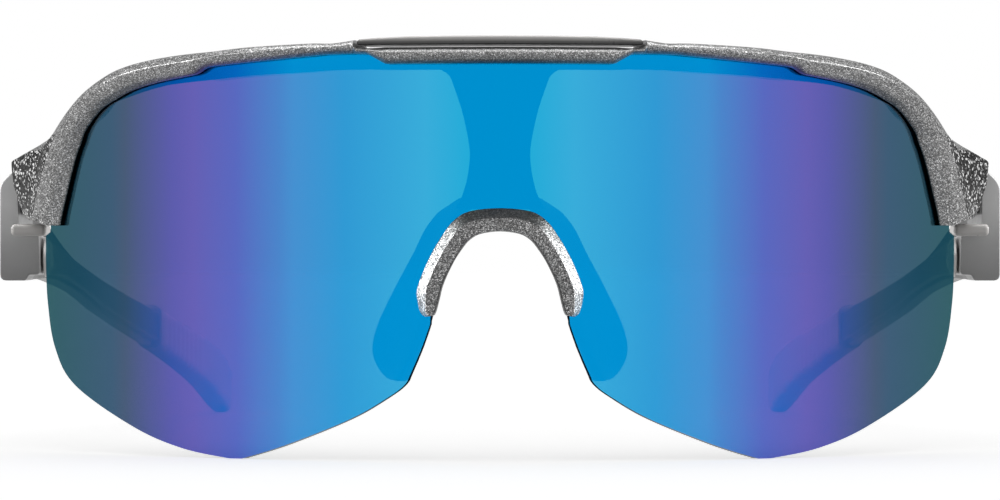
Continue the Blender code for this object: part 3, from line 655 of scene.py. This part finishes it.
def steel_material(name):
    """Steel with fine turning marks."""
    material, nodes = new_material(name, 0.3, 1.0)
    stretched = nodes.add("ShaderNodeMapping", Vector=nodes.place(), Scale=(1.0, 1.0, 14.0)).outputs[0]
    marks = nodes.noise(1500.0, 3.0, 0.7, stretched).outputs["Fac"]
    nodes.feed(nodes.shader.inputs["Base Color"],
               nodes.ramp(marks, [(0.3, (0.42, 0.42, 0.43)), (0.7, (0.68, 0.68, 0.69))]))
    rough = nodes.maths("MULTIPLY_ADD", marks, 0.25)
    rough.node.inputs[2].default_value = 0.2
    nodes.feed(nodes.shader.inputs["Roughness"], rough)
    nodes.feed(nodes.shader.inputs["Normal"], nodes.bump(marks, 0.1, 0.00003))
    return material


def across_lens(nodes):
    """0 in the middle of the lens and 1 at its outer edge."""
    parts = nodes.add("ShaderNodeSeparateXYZ", Vector=nodes.place())
    distance = nodes.maths("ABSOLUTE", parts.outputs[0])
    return nodes.maths("MULTIPLY", distance, 1.0 / (LENS_EDGE_X * MM))


def let_through(nodes, clear, share):
    """Mix the shader with a see-through one and send both to the output."""
    both = nodes.add("ShaderNodeMixShader", Fac=share)
    nodes.tree.links.new(nodes.shader.outputs[0], both.inputs[1])
    nodes.tree.links.new(clear.outputs[0], both.inputs[2])
    output = nodes.tree.nodes["Material Output"]
    nodes.tree.links.new(both.outputs[0], output.inputs["Surface"])


def scaled_stops(stops, factor):
    return [(x / LENS_EDGE_X, tuple(min(1.0, part * factor) for part in colour)) for x, colour in stops]


def mirror_coating(name):
    """Mirror coat that reflects one colour and lets another through."""
    material, nodes = new_material(name, 0.035, 1.0)
    across = across_lens(nodes)
    waves = nodes.noise(60.0, 1.0, 0.4).outputs["Fac"]
    # The reflected colour is partly the coating's own and partly painted reflection of darker surroundings
    # towards the sides.
    reflected = nodes.ramp(across, scaled_stops(COATING_REFLECTS, 1.0 / (1.0 - SEE_THROUGH)))
    nodes.feed(nodes.shader.inputs["Base Color"], reflected)
    nodes.feed(nodes.shader.inputs["Normal"], nodes.bump(waves, 0.02, 0.0001))
    passed = nodes.ramp(across, scaled_stops(COATING_PASSES, 1.0 / (SEE_THROUGH * TINT_INSIDE)))
    from_behind = nodes.add("ShaderNodeNewGeometry").outputs["Backfacing"]
    passed = nodes.mix(from_behind, passed, (*SMOKE, 1.0))
    clear = nodes.add("ShaderNodeBsdfTransparent", Color=passed)
    share = nodes.ramp(from_behind, [(0.0, (SEE_THROUGH,) * 3), (1.0, (1.0,) * 3)])
    let_through(nodes, clear, share)
    return material


def tinted_inside(name):
    """Smoke-tinted rear face of the lens."""
    material, nodes = new_material(name, 0.06)
    cloud = nodes.noise(80.0, 2.0, 0.5).outputs["Fac"]
    nodes.feed(nodes.shader.inputs["Base Color"],
               nodes.ramp(cloud, [(0.3, (0.010, 0.012, 0.016)), (0.7, (0.016, 0.018, 0.024))]))
    clear = nodes.add("ShaderNodeBsdfTransparent")
    clear.inputs["Color"].default_value = grey(TINT_INSIDE / INSIDE_SHARE)
    let_through(nodes, clear, INSIDE_SHARE)
    return material


def lens_edge(name):
    """Cut edge of the lens: dark at the nose, and clear towards the sides where it is polished."""
    material, nodes = new_material(name, 0.22)
    streaks = nodes.noise(2400.0, 2.0, 0.5).outputs["Fac"]
    nodes.feed(nodes.shader.inputs["Base Color"],
               nodes.ramp(streaks, [(0.3, (0.004, 0.010, 0.020)), (0.7, (0.010, 0.028, 0.055))]))
    clear = nodes.add("ShaderNodeBsdfTransparent")
    clear.inputs["Color"].default_value = grey(TINT_INSIDE / EDGE_SHARE)
    nodes.shader.inputs["Specular IOR Level"].default_value = 0.0
    share = nodes.ramp(across_lens(nodes), [(0.22, (0.0,) * 3), (0.4, (EDGE_SHARE,) * 3)])
    let_through(nodes, clear, share)
    return material


def temple_plastic(name, rest_colour, stops):
    """Satin plastic with painted light and shade: its tone changes along the temple, given in mm from the
    front of the lens, and with height, and is darker on faces that look sideways.
    """
    material = smooth_plastic(name, rest_colour, rest_colour, 0.36)
    nodes = Nodes(material)
    parts = nodes.add("ShaderNodeSeparateXYZ", Vector=nodes.place())
    along = nodes.maths("SUBTRACT", parts.outputs[1], LENS_FRONT)
    share = nodes.maths("MULTIPLY", along, 1.0 / (TEMPLE_LENGTH_Y * MM))
    tone = nodes.ramp(share, [(y / TEMPLE_LENGTH_Y, (value,) * 3) for y, value in stops])
    cloud = nodes.noise(140.0, 3.0, 0.6).outputs["Fac"]
    shade_factor = nodes.maths("MULTIPLY_ADD", cloud, 0.2)
    shade_factor.node.inputs[2].default_value = 0.9
    share = nodes.maths("MULTIPLY", parts.outputs[2], 1.0 / (TEMPLE_HEIGHT_Z * MM))
    height = nodes.ramp(share, [(z / TEMPLE_HEIGHT_Z, (value,) * 3) for z, value in HEIGHT_PAINTED_LIGHT_AND_SHADE])
    tone = nodes.mix(1.0, tone, height, "MULTIPLY")
    normal = nodes.add("ShaderNodeSeparateXYZ", Vector=nodes.add("ShaderNodeTexCoord").outputs["Normal"])
    flank = nodes.ramp(nodes.maths("ABSOLUTE", normal.outputs[0]), FLANK_PAINTED_SHADE)
    tone = nodes.mix(1.0, tone, flank, "MULTIPLY")
    nodes.feed(nodes.shader.inputs["Base Color"], nodes.mix(1.0, tone, shade_factor, "MULTIPLY"))
    return material


def sleeve_rubber(name):
    """Pale rubber of the sleeves, with painted shade: mid grey on the outer flank that faces the side light,
    and paler elsewhere.
    """
    material = rubber_material(name, SLEEVE_PALE, SLEEVE_PALE)
    nodes = Nodes(material)
    normal = nodes.add("ShaderNodeSeparateXYZ", Vector=nodes.add("ShaderNodeTexCoord").outputs["Normal"])
    parts = nodes.add("ShaderNodeSeparateXYZ", Vector=nodes.place())
    outwards = nodes.maths("MULTIPLY", nodes.maths("SIGN", parts.outputs[0]), normal.outputs[0])
    tone = nodes.ramp(outwards, [(0.3, SLEEVE_PALE), (0.8, SLEEVE_FLANK_SHADE)])
    cloud = nodes.ramp(nodes.noise(200.0, 3.0, 0.6).outputs["Fac"], [(0.3, (0.9,) * 3), (0.7, (1.0,) * 3)])
    nodes.feed(nodes.shader.inputs["Base Color"], nodes.mix(1.0, tone, cloud, "MULTIPLY"))
    return material


def brow_strip_plastic(name):
    """Light grey satin plastic with painted shade towards the foot of the strip and painted light towards
    its top.
    """
    material = smooth_plastic(name, (0.30,) * 3, (0.35,) * 3, 0.3)
    nodes = Nodes(material)
    parts = nodes.add("ShaderNodeSeparateXYZ", Vector=nodes.place())
    foot = BROW_INSERT_EDGE[-1][1]
    rise = nodes.maths("SUBTRACT", parts.outputs[2], foot * MM)
    strip_height = (BROW_INSERT_EDGE[0][1] - foot) * MM
    tone = nodes.ramp(nodes.maths("MULTIPLY", rise, 1.0 / strip_height), STRIP_PAINTED_LIGHT_AND_SHADE)
    cloud = nodes.ramp(nodes.noise(160.0, 3.0, 0.6).outputs["Fac"], [(0.3, (0.85,) * 3), (0.7, (1.0,) * 3)])
    nodes.feed(nodes.shader.inputs["Base Color"], nodes.mix(1.0, tone, cloud, "MULTIPLY"))
    return material


# speckled carries painted shade by face direction, and speckled_nose carries painted shade and painted
# highlight.
speckled = speckled_plastic("speckled_grey", 0.115, FLAKE_STOPS, 0.2, 0.42, tone=frame_painted_shade, coat=1.0)
speckled_nose = speckled_plastic("speckled_grey_nosepiece", 0.115, FLAKE_STOPS, 0.2, 0.42,
                                 tone=nosepiece_shade_and_highlight, gain=NOSEPIECE_HIGHLIGHT_GAIN)
coarse = speckled_plastic("speckled_grey_side", 0.27, COARSE_STOPS, 0.35, 0.36, specular=0.1)
smooth_grey = smooth_plastic("smooth_grey", (0.20, 0.20, 0.20), (0.24, 0.24, 0.24), 0.34)
# The temple materials carry painted light and shade along the temple, by height and on the flank.
temple_outside = temple_plastic("temple_outside", (0.21, 0.21, 0.21), OUTER_PAINTED_LIGHT)
temple_inside = temple_plastic("temple_inside", (0.1, 0.1, 0.1), INNER_PAINTED_SHADE_AND_LIGHT)
light_grey = smooth_plastic("light_grey", (0.30, 0.29, 0.28), (0.35, 0.34, 0.33), 0.3)
strip_grey = brow_strip_plastic("strip_grey")
dark_plastic = smooth_plastic("dark_plastic", (0.008, 0.008, 0.009), (0.014, 0.014, 0.016), 0.5)
rubber = rubber_material("soft_rubber", (0.016, 0.016, 0.018), (0.03, 0.03, 0.034))
pale_rubber = sleeve_rubber("pale_rubber")
steel = steel_material("hinge_steel")
coating = mirror_coating("mirror_coating")
inside = tinted_inside("lens_inside")
edge_tint = lens_edge("lens_edge")


# ---------------------------------------------------------------- front

def rim_corners(station):
    """Corners of a rim section as (arc length, height, distance in front of the lens)."""
    inner_x, inner_z, outer_x, outer_z, groove, reach = station
    start = Vector((arc_length(inner_x), inner_z))
    end = Vector((arc_length(outer_x), outer_z))
    width = (end - start).length
    direction = (end - start).normalized()
    behind = -LENS_THICKNESS - FIT_GAP
    lean = math.tan(0.85 * start.x / LENS_RADIUS) * direction.x
    rear = -reach + (behind - LIP_REAR_OUT) * lean
    wall = 1.4 - 0.8 * min(1.0, max(0.0, (inner_x - 42.0) / 10.0))
    ring = [(0.0, FIT_GAP), (0.0, wall), (0.22 * width, 2.2), (0.58 * width, 2.7), (0.93 * width, 2.0),
            (width, 1.2), (width, -4.2), (0.75 * width, -5.0), (max(0.1 * width, rear + 0.4), -4.6),
            (rear, LIP_REAR_OUT), (-reach, behind), (groove, behind), (groove, FIT_GAP)]
    row = []
    for along, out in ring:
        spot = start + direction * along
        row += [spot.x, spot.y, out]
    return row


def endpiece_corners(station):
    """Corners of an endpiece section, in the same order and form."""
    z, inner, band, outer, back, dip = station
    low = z - dip
    behind = -LENS_THICKNESS - FIT_GAP
    width = band - inner

    def over(x, out, level=z):
        return [arc_length(x), level, out]

    corner = cylinder_point(arc_length(outer), z, 0.9)
    corner_x = corner.x / MM
    inside_x = min(corner_x - ENDPIECE_LEAST_WALL, ENDPIECE_INSIDE_X)
    lip_back = (cylinder_point(arc_length(inner + ENDPIECE_LIP_REAR), z, LIP_REAR_OUT).y - LENS_FRONT) / MM
    row = over(inner, FIT_GAP, low) + over(inner, 0.6, low) + over(inner + 0.22 * width, 2.5, low)
    row += over(inner + 0.6 * width, 2.9) + over(band, 2.0) + over(outer, 0.9)
    row += list(cylinder_spot(corner_x, back, z)) + list(cylinder_spot(inside_x, back, z))
    row += list(cylinder_spot(inside_x, (back + lip_back) / 2, z))
    row += over(inner + ENDPIECE_LIP_REAR, LIP_REAR_OUT, low) + over(inner + ENDPIECE_LIP, behind, low)
    row += over(inner + ENDPIECE_GROOVE, behind, low) + over(inner + ENDPIECE_GROOVE, FIT_GAP, low)
    return row


def ring_from(row, rounding, steps=3):
    corners = [cylinder_point(*row[index:index + 3]) for index in range(0, len(row), 3)]
    return rounded_ring(corners, rounding, steps)


def make_frame():
    rows = [rim_corners(station) for station in BROW_STATIONS]
    curve = [rim_corners(station) for station in RIM_STATIONS]
    curve += [endpiece_corners(station) for station in ENDPIECE_STATIONS]
    rows += eased_rows(curve, 5)
    rings = [ring_from(row, RIM_ROUNDING) for row in rows]
    rings = round_last(rings, 0.35)
    for point in rings[0]:
        point.x = 0.0
    mesh = close_mesh(loft(rings, open_start=True), "frame_front_shell")
    piece = add_piece("frame_front_shell", mesh, [speckled, coarse], "front", ["frame_front"])
    for polygon in mesh.polygons:
        if polygon.normal.x > 0.8 and polygon.center.z < 44.5 * MM and polygon.center.x > 62.5 * MM:
            polygon.material_index = 1
    mirror_across_middle(piece)
    return shade(piece)


def front_view_spot(station, along):
    """Where a spot of a rim or nosepiece station is seen from the front."""
    start = Vector((arc_length(station[0]), station[1]))
    end = Vector((arc_length(station[2]), station[3]))
    spot = start + (end - start).normalized() * along
    return LENS_RADIUS * math.sin(spot.x / LENS_RADIUS), spot.y


def make_lens():
    outline = []
    for station in BROW_STATIONS[:-1] + RIM_STATIONS:
        outline.append(front_view_spot(station, station[4] - FIT_GAP))
    for z, inner, *_ in ENDPIECE_STATIONS:
        outline.append((inner + ENDPIECE_GROOVE - FIT_GAP, z))
    outline.append((LENS_SIDE_X - 0.8, LENS_STEP_Z + 0.2))
    outline.append((LENS_SIDE_X, LENS_STEP_Z - 0.4))
    outline += smooth_rows(LENS_OUTER_EDGE, 10)
    outline += smooth_rows(LENS_INNER_EDGE, 8)
    for station in reversed(ARCH_STATIONS[:-1]):
        outline.append(front_view_spot(station, ARCH_WALL + FIT_GAP))
    lens = thick_sheet("shield_lens_mirror", outline, 0.0, LENS_THICKNESS, 0.12, 2,
                       [coating, inside, edge_tint], "front", ["shield_lens"])
    return lens


def make_brow_insert():
    thick_sheet("brow_strip", BROW_INSERT_EDGE, 2.0, 6.6, 0.45, 4, [strip_grey], "front",
                ["brow_insert"])


def make_nose_bridge():
    half = [(0.0, BRIDGE_EDGE[0][1])] + smooth_rows(BRIDGE_EDGE, 8) + [(4.2, 33.85), (0.0, 34.05)]
    thick_sheet("nose_column", half, -LENS_THICKNESS - 2 * FIT_GAP, 1.8, 0.35, 3, [dark_plastic],
                "front", ["nose_bridge"])


def arch_corners(station):
    inner_x, inner_z, outer_x, outer_z = station
    start = Vector((arc_length(inner_x), inner_z))
    end = Vector((arc_length(outer_x), outer_z))
    width = (end - start).length
    direction = (end - start).normalized()
    behind = -LENS_THICKNESS - FIT_GAP
    lip = min(3.0, width)
    lean = math.tan(start.x / LENS_RADIUS) * direction.x
    ring = [(ARCH_WALL, FIT_GAP), (width, FIT_GAP), (width, 0.7), (0.57 * width, 2.2), (0.08 * width, 2.1),
            (0.0, 1.7), (5.7 * lean, -4.0), (0.3 + 5.7 * lean, -4.3), (lip, -4.3), (lip, behind),
            (ARCH_WALL, behind)]
    row = []
    for along, out in ring:
        spot = start + direction * along
        row += [spot.x, spot.y, out]
    return row


def make_arch():
    mirrored = (-ARCH_STATIONS[1][0], ARCH_STATIONS[1][1], -ARCH_STATIONS[1][2], ARCH_STATIONS[1][3])
    stations = smooth_rows(ARCH_STATIONS, 5, mirrored)
    rings = [ring_from(arch_corners(station), ARCH_ROUNDING) for station in stations]
    rings = round_last(rings, 0.3)
    for point in rings[0]:
        point.x = 0.0
    mesh = close_mesh(loft(rings, open_start=True), "nosepiece_rim")
    piece = add_piece("nosepiece_rim", mesh, [speckled_nose], "front", ["nosepiece_arch"])
    mirror_across_middle(piece)
    return shade(piece)


def pad_ring(side, z, front_x, back_x):
    front = Vector((front_x + 1.0, PAD_FRONT_Y + 1.0))
    back = Vector((back_x, PAD_BACK_Y))
    along = (back - front).normalized()
    across = Vector((-along.y, along.x))
    run = (back - front).length
    outline = []
    for share, offset in ((0.0, 1.0), (0.3, 1.25), (0.6, 1.3), (0.9, 1.0), (1.0, 0.0), (0.9, -0.8),
                          (0.6, -0.5), (0.3, -0.5), (0.0, -0.8), (-0.12, 0.0)):
        spot = front + along * run * share + across * offset
        outline.append((spot.x, spot.y))
    closed = outline + outline[:2]
    curve = smooth_rows(closed, 4, outline[-1])[:len(outline) * 4]
    return [place(side * x, y, z) for x, y in curve]


def make_pad(side):
    rings = [pad_ring(side, *row) for row in smooth_rows(PAD_STATIONS, 6)]
    rings = round_both(rings, 0.5)
    name = "nose_pad" + side_name(side)
    mesh = close_mesh(loft(rings), name + "_soft")
    shade(add_piece(name + "_soft", mesh, [rubber], "front", [name]))


def make_endpiece_base(side):
    name = "endpiece_base" + side_name(side)
    low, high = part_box(name)
    bm = bmesh.new()
    size = high - low
    bmesh.ops.create_cube(bm, size=1.0,
                          matrix=Matrix.Translation((low + high) / 2) @ Matrix.Diagonal((*size, 1.0)))
    mesh = close_mesh(bm, name + "_lip")
    piece = add_piece(name + "_lip", mesh, [light_grey], "front", [name])
    bevel(piece, 0.62, 5)
    apply_modifiers(piece)
    shade(piece)


# ---------------------------------------------------------------- temples

def temple_ring(side, row):
    y, inner, wall, outer, bottom, shelf, top = row
    top = max(top, shelf + 0.5)
    crown = min(2.0, (top - shelf) * 0.6, outer - wall - 0.2)
    notch = 0.12 * (shelf - bottom)
    width = outer - inner
    corners = [(outer, bottom), (outer, top - crown), (outer - crown, top), (wall, top - 0.05),
               (wall, shelf), (inner, shelf), (inner, bottom + notch),
               (inner + 0.28 * width, bottom + notch), (inner + 0.36 * width, bottom)]
    radii = (0.9, 1.1, 0.9, 0.45, 0.3, 0.8, 0.7, 0.25, 0.3)
    return rounded_ring([place(side * x, y, z) for x, z in corners], radii, 4)


def make_temple(side):
    body = "temple" + side_name(side)
    name = "temple_arm" + side_name(side)
    rings = [temple_ring(side, row) for row in smooth_rows(TEMPLE_STATIONS, 8)]
    rings = round_both(rings, 0.35)
    mesh = close_mesh(loft(rings), name + "_shell")
    # Inward faces behind the block get temple_inside, whose colour is painted shade near the hinge and paler
    # painted light further back.
    for polygon in mesh.polygons:
        inward = -side * polygon.normal.x > 0.3 or polygon.normal.z > 0.5
        below_wall = polygon.center.z < 33.0 * MM
        behind_block = polygon.center.y > LENS_FRONT + 44.0 * MM
        if inward and below_wall and behind_block:
            polygon.material_index = 1
    shade(add_piece(name + "_shell", mesh, [temple_outside, temple_inside], body, [name]))


def sleeve_ring(side, row):
    y, inner, outer, bottom, top = row
    start, end = SLEEVE_RIBS
    rib = 0.0
    if start < y < end:
        rib = SLEEVE_RIB_DEPTH * (0.5 - 0.5 * math.cos(2 * math.pi * (y - start) / SLEEVE_RIB_PITCH))
    corners = [(inner + rib, bottom), (outer, bottom), (outer, top), (inner + rib, top)]
    edge = min(1.6, 0.42 * (outer - inner))
    return rounded_ring([place(side * x, y, z) for x, z in corners], (edge,) * 4, 6)


def make_tip(side):
    body = "temple" + side_name(side)
    name = "temple_tip" + side_name(side)
    rows = smooth_rows(SLEEVE_STATIONS[:-1], 30) + smooth_rows(SLEEVE_STATIONS[-2:], 4)[1:]
    rings = [sleeve_ring(side, row) for row in rows]
    rings = round_both(rings, 0.45)
    mesh = close_mesh(loft(rings), name + "_sleeve")
    shade(add_piece(name + "_sleeve", mesh, [pale_rubber], body, [name]))


def turned(name, profile, centre, direction, material, body, node, slot, segments=48):
    """Piece turned from a profile of (radius, height) down its outer side, in place of a node."""
    points = [(radius * MM, 0.0, height * MM) for radius, height in profile]
    mesh = bpy.data.meshes.new(name)
    mesh.from_pydata(points, [(index, index + 1) for index in range(len(points) - 1)], [])
    mesh.materials.append(material)
    piece = bpy.data.objects.new(name, mesh)
    bpy.context.scene.collection.objects.link(piece)
    turn = piece.modifiers.new("Turn", "SCREW")
    turn.steps = segments
    turn.render_steps = segments
    turn.use_merge_vertices = True
    turn.merge_threshold = 0.000002
    piece.location = centre
    piece.rotation_euler = Vector(direction).to_track_quat("Z", "Y").to_euler()
    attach(piece, body)
    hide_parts(node)
    return piece


def slotted(piece, width, depth, top):
    """Cut a driver slot into a turned head."""
    bm = bmesh.new()
    size = Vector((4.0, width, depth * 2)) * MM
    bmesh.ops.create_cube(bm, size=1.0,
                          matrix=Matrix.Translation((0.0, 0.0, top * MM)) @ Matrix.Diagonal((*size, 1.0)))
    cutter = bpy.data.objects.new("slot_tool", close_mesh(bm, "slot_tool"))
    bpy.context.scene.collection.objects.link(cutter)
    cutter.matrix_world = piece.matrix_world
    cut = piece.modifiers.new("Slot", "BOOLEAN")
    cut.object = cutter
    cut.operation = "DIFFERENCE"
    cut.solver = "EXACT"
    apply_modifiers(piece)
    bpy.data.objects.remove(cutter)
    return shade(piece)


def make_hardware(side):
    end = side_name(side)
    temple_body = "temple" + end
    low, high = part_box("hinge_screw" + end)
    top = (high.z - low.z) / MM
    profile = [(0.0, top), (0.95, top - 0.02), (1.25, top - 0.16), (1.4, top - 0.4), (1.4, top - 0.8),
               (0.7, top - 0.8), (0.7, 0.2), (0.5, 0.0), (0.0, 0.0)]
    centre = Vector(((low.x + high.x) / 2, (low.y + high.y) / 2, low.z))
    pin = turned("hinge_pin" + end, profile, centre, (0.0, 0.0, 1.0), steel, "front", "hinge_screw" + end,
                 "hinge_steel")
    slotted(pin, 0.35, 0.35, top)
    for label, body in (("hinge_leaf_screw", "front"), ("temple_leaf_screw", temple_body)):
        low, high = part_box(label + end)
        length = (high.x - low.x) / MM - 0.7
        head = high.x if side < 0 else low.x
        seat = Vector((head + side * 0.7 * MM, (low.y + high.y) / 2, (low.z + high.z) / 2))
        profile = [(0.0, 0.7), (0.7, 0.66), (1.05, 0.5), (1.2, 0.25), (1.2, 0.0), (0.6, 0.0),
                   (0.6, -length + 0.3), (0.0, -length)]
        screw = turned(label + end + "_slotted", profile, seat, (-side, 0.0, 0.0), steel, body, label + end,
                       "hinge_steel")
        slotted(screw, 0.3, 0.28, 0.7)
    low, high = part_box("hinge_cap" + end)
    face = high.x if side < 0 else low.x
    seat = Vector((face + side * 1.1 * MM, (low.y + high.y) / 2, (low.z + high.z) / 2))
    profile = [(0.0, 0.8), (0.9, 0.82), (1.2, 1.08), (1.7, 1.0), (2.3, 0.68), (2.7, 0.3), (2.9, 0.08),
               (2.9, 0.0), (1.2, 0.0), (1.2, -1.9), (0.0, -1.9)]
    cap = turned("hinge_cap" + end + "_dome", profile, seat, (-side, 0.0, 0.0), light_grey, temple_body,
                 "hinge_cap" + end, "light_grey_plastic")
    apply_modifiers(cap)
    shade(cap)
    for label in ("hinge_front_leaf", "hinge_temple_leaf"):
        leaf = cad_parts[label + end]
        leaf.data.materials.clear()
        leaf.data.materials.append(steel)


make_frame()
make_lens()
make_brow_insert()
make_nose_bridge()
make_arch()
for side in (-1, 1):
    make_pad(side)
    make_endpiece_base(side)
    make_temple(side)
    make_tip(side)
    make_hardware(side)


# ---------------------------------------------------------------- studio

CAMERA_LENS = 134.23
CAMERA_DISTANCE = 0.5
CAMERA_HEIGHT = 0.0284
FLOOR_GLOW = 0.585
TOP_POWER = 5.0
SIDE_POWER = 2.8
FRONT_POWER = 0.8
RIDGE_POWER = 1.2
# How bright the surroundings are by height: the sine of the elevation and the value.
SKY = [(0.0, 1.0), (0.1, 1.0), (0.22, 0.35), (0.75, 0.35), (0.95, 0.8)]


def make_floor():
    """Pale floor like a light table: it glows, and gives the object itself less light than it shows."""
    bpy.ops.mesh.primitive_plane_add(size=8.0, location=(0.0, 0.0, 0.0))
    floor = bpy.context.object
    floor.name = "studio_floor"
    material, nodes = new_material("pale_floor", 0.9)
    cloud = nodes.noise(3.0, 2.0, 0.5).outputs["Fac"]
    nodes.feed(nodes.shader.inputs["Base Color"], nodes.ramp(cloud, [(0.0, (0.88,) * 3), (1.0, (0.9,) * 3)]))
    nodes.shader.inputs["Specular IOR Level"].default_value = 0.0
    glow = nodes.add("ShaderNodeEmission", Color=grey(1.0))
    ray = nodes.add("ShaderNodeLightPath")
    nodes.feed(glow.inputs["Strength"], nodes.maths("SUBTRACT", FLOOR_GLOW, nodes.maths(
        "MULTIPLY", ray.outputs["Is Diffuse Ray"], FLOOR_GLOW * 0.8)))
    both = nodes.add("ShaderNodeAddShader")
    nodes.tree.links.new(nodes.shader.outputs[0], both.inputs[0])
    nodes.tree.links.new(glow.outputs[0], both.inputs[1])
    output = nodes.tree.nodes["Material Output"]
    nodes.tree.links.new(both.outputs[0], output.inputs["Surface"])
    floor.data.materials.append(material)
    floor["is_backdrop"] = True


def make_world():
    """White all round at eye level, and dimmer higher up."""
    world = bpy.data.worlds.new("studio")
    bpy.context.scene.world = world
    world.use_nodes = True
    tree = world.node_tree
    background = tree.nodes["Background"]
    direction = tree.nodes.new("ShaderNodeTexCoord")
    parts = tree.nodes.new("ShaderNodeSeparateXYZ")
    tree.links.new(direction.outputs["Generated"], parts.inputs[0])
    band = tree.nodes.new("ShaderNodeValToRGB")
    band.color_ramp.interpolation = "EASE"
    while len(band.color_ramp.elements) < len(SKY):
        band.color_ramp.elements.new(0.5)
    for element, (height, value) in zip(band.color_ramp.elements, SKY):
        element.position = height
        element.color = grey(value)
    tree.links.new(parts.outputs["Z"], band.inputs["Fac"])
    ray = tree.nodes.new("ShaderNodeLightPath")
    shown = tree.nodes.new("ShaderNodeMix")
    shown.data_type = "RGBA"
    tree.links.new(ray.outputs["Is Camera Ray"], shown.inputs[0])
    tree.links.new(band.outputs["Color"], shown.inputs[6])
    shown.inputs[7].default_value = grey(1.0)
    tree.links.new(shown.outputs[2], background.inputs["Color"])
    background.inputs["Strength"].default_value = 1.0


def softbox(name, place_at, target, size, power, lit):
    """Soft light that falls on the given pieces."""
    light = bpy.data.lights.new(name, "AREA")
    light.shape = "RECTANGLE"
    light.size, light.size_y = size
    light.energy = power
    lamp = bpy.data.objects.new(name, light)
    bpy.context.scene.collection.objects.link(lamp)
    lamp.location = place_at
    lamp.rotation_euler = (Vector(target) - Vector(place_at)).to_track_quat("-Z", "Y").to_euler()
    lamp.visible_camera = False
    lamp.light_linking.receiver_collection = lit
    return lamp


def lit_pieces(name, starts):
    """The pieces that a softbox lights, by the start of their names."""
    lit = bpy.data.collections.new(name)
    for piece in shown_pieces():
        if piece.name.startswith(starts):
            lit.objects.link(piece)
    return lit


def make_camera():
    data = bpy.data.cameras.new("camera")
    data.sensor_width = 36.0
    data.lens = CAMERA_LENS
    data.clip_start = 0.01
    data.clip_end = 50.0
    camera = bpy.data.objects.new("camera", data)
    bpy.context.scene.collection.objects.link(camera)
    camera.location = (0.0, LENS_FRONT - CAMERA_DISTANCE, CAMERA_HEIGHT)
    camera.rotation_euler = (math.radians(90), 0.0, 0.0)
    bpy.context.scene.camera = camera


make_floor()
make_world()
plastic_pieces = lit_pieces("lit_from_above", ("frame", "brow", "nose", "endpiece", "temple", "hinge"))
softbox("top_softbox", (0.0, 0.0, 0.8), (0.0, -0.05, 0.03), (0.7, 0.5), TOP_POWER, plastic_pieces)
front_pieces = lit_pieces("lit_from_the_front", ("frame", "brow", "nosepiece", "endpiece"))
ridge_pieces = lit_pieces("lit_along_the_ridge", ("frame",))
side_pieces = lit_pieces("lit_from_the_sides", ("nosepiece", "endpiece", "temple", "hinge"))
for side in (-1, 1):
    softbox("side_softbox" + side_name(side), (side * 0.42, 0.0, 0.24), (0.0, -0.03, 0.03), (0.35, 0.35),
            SIDE_POWER, side_pieces)
    softbox("front_softbox" + side_name(side), (side * 0.3, -0.55, 0.5), (0.0, -0.07, 0.05), (0.12, 0.12),
            FRONT_POWER, front_pieces)
    softbox("ridge_softbox" + side_name(side), (side * 0.414, -0.175, 0.277), (side * 0.045, -0.062, 0.052),
            (0.36, 0.04), RIDGE_POWER, ridge_pieces)
make_camera()
bpy.context.scene.view_settings.view_transform = "Standard"
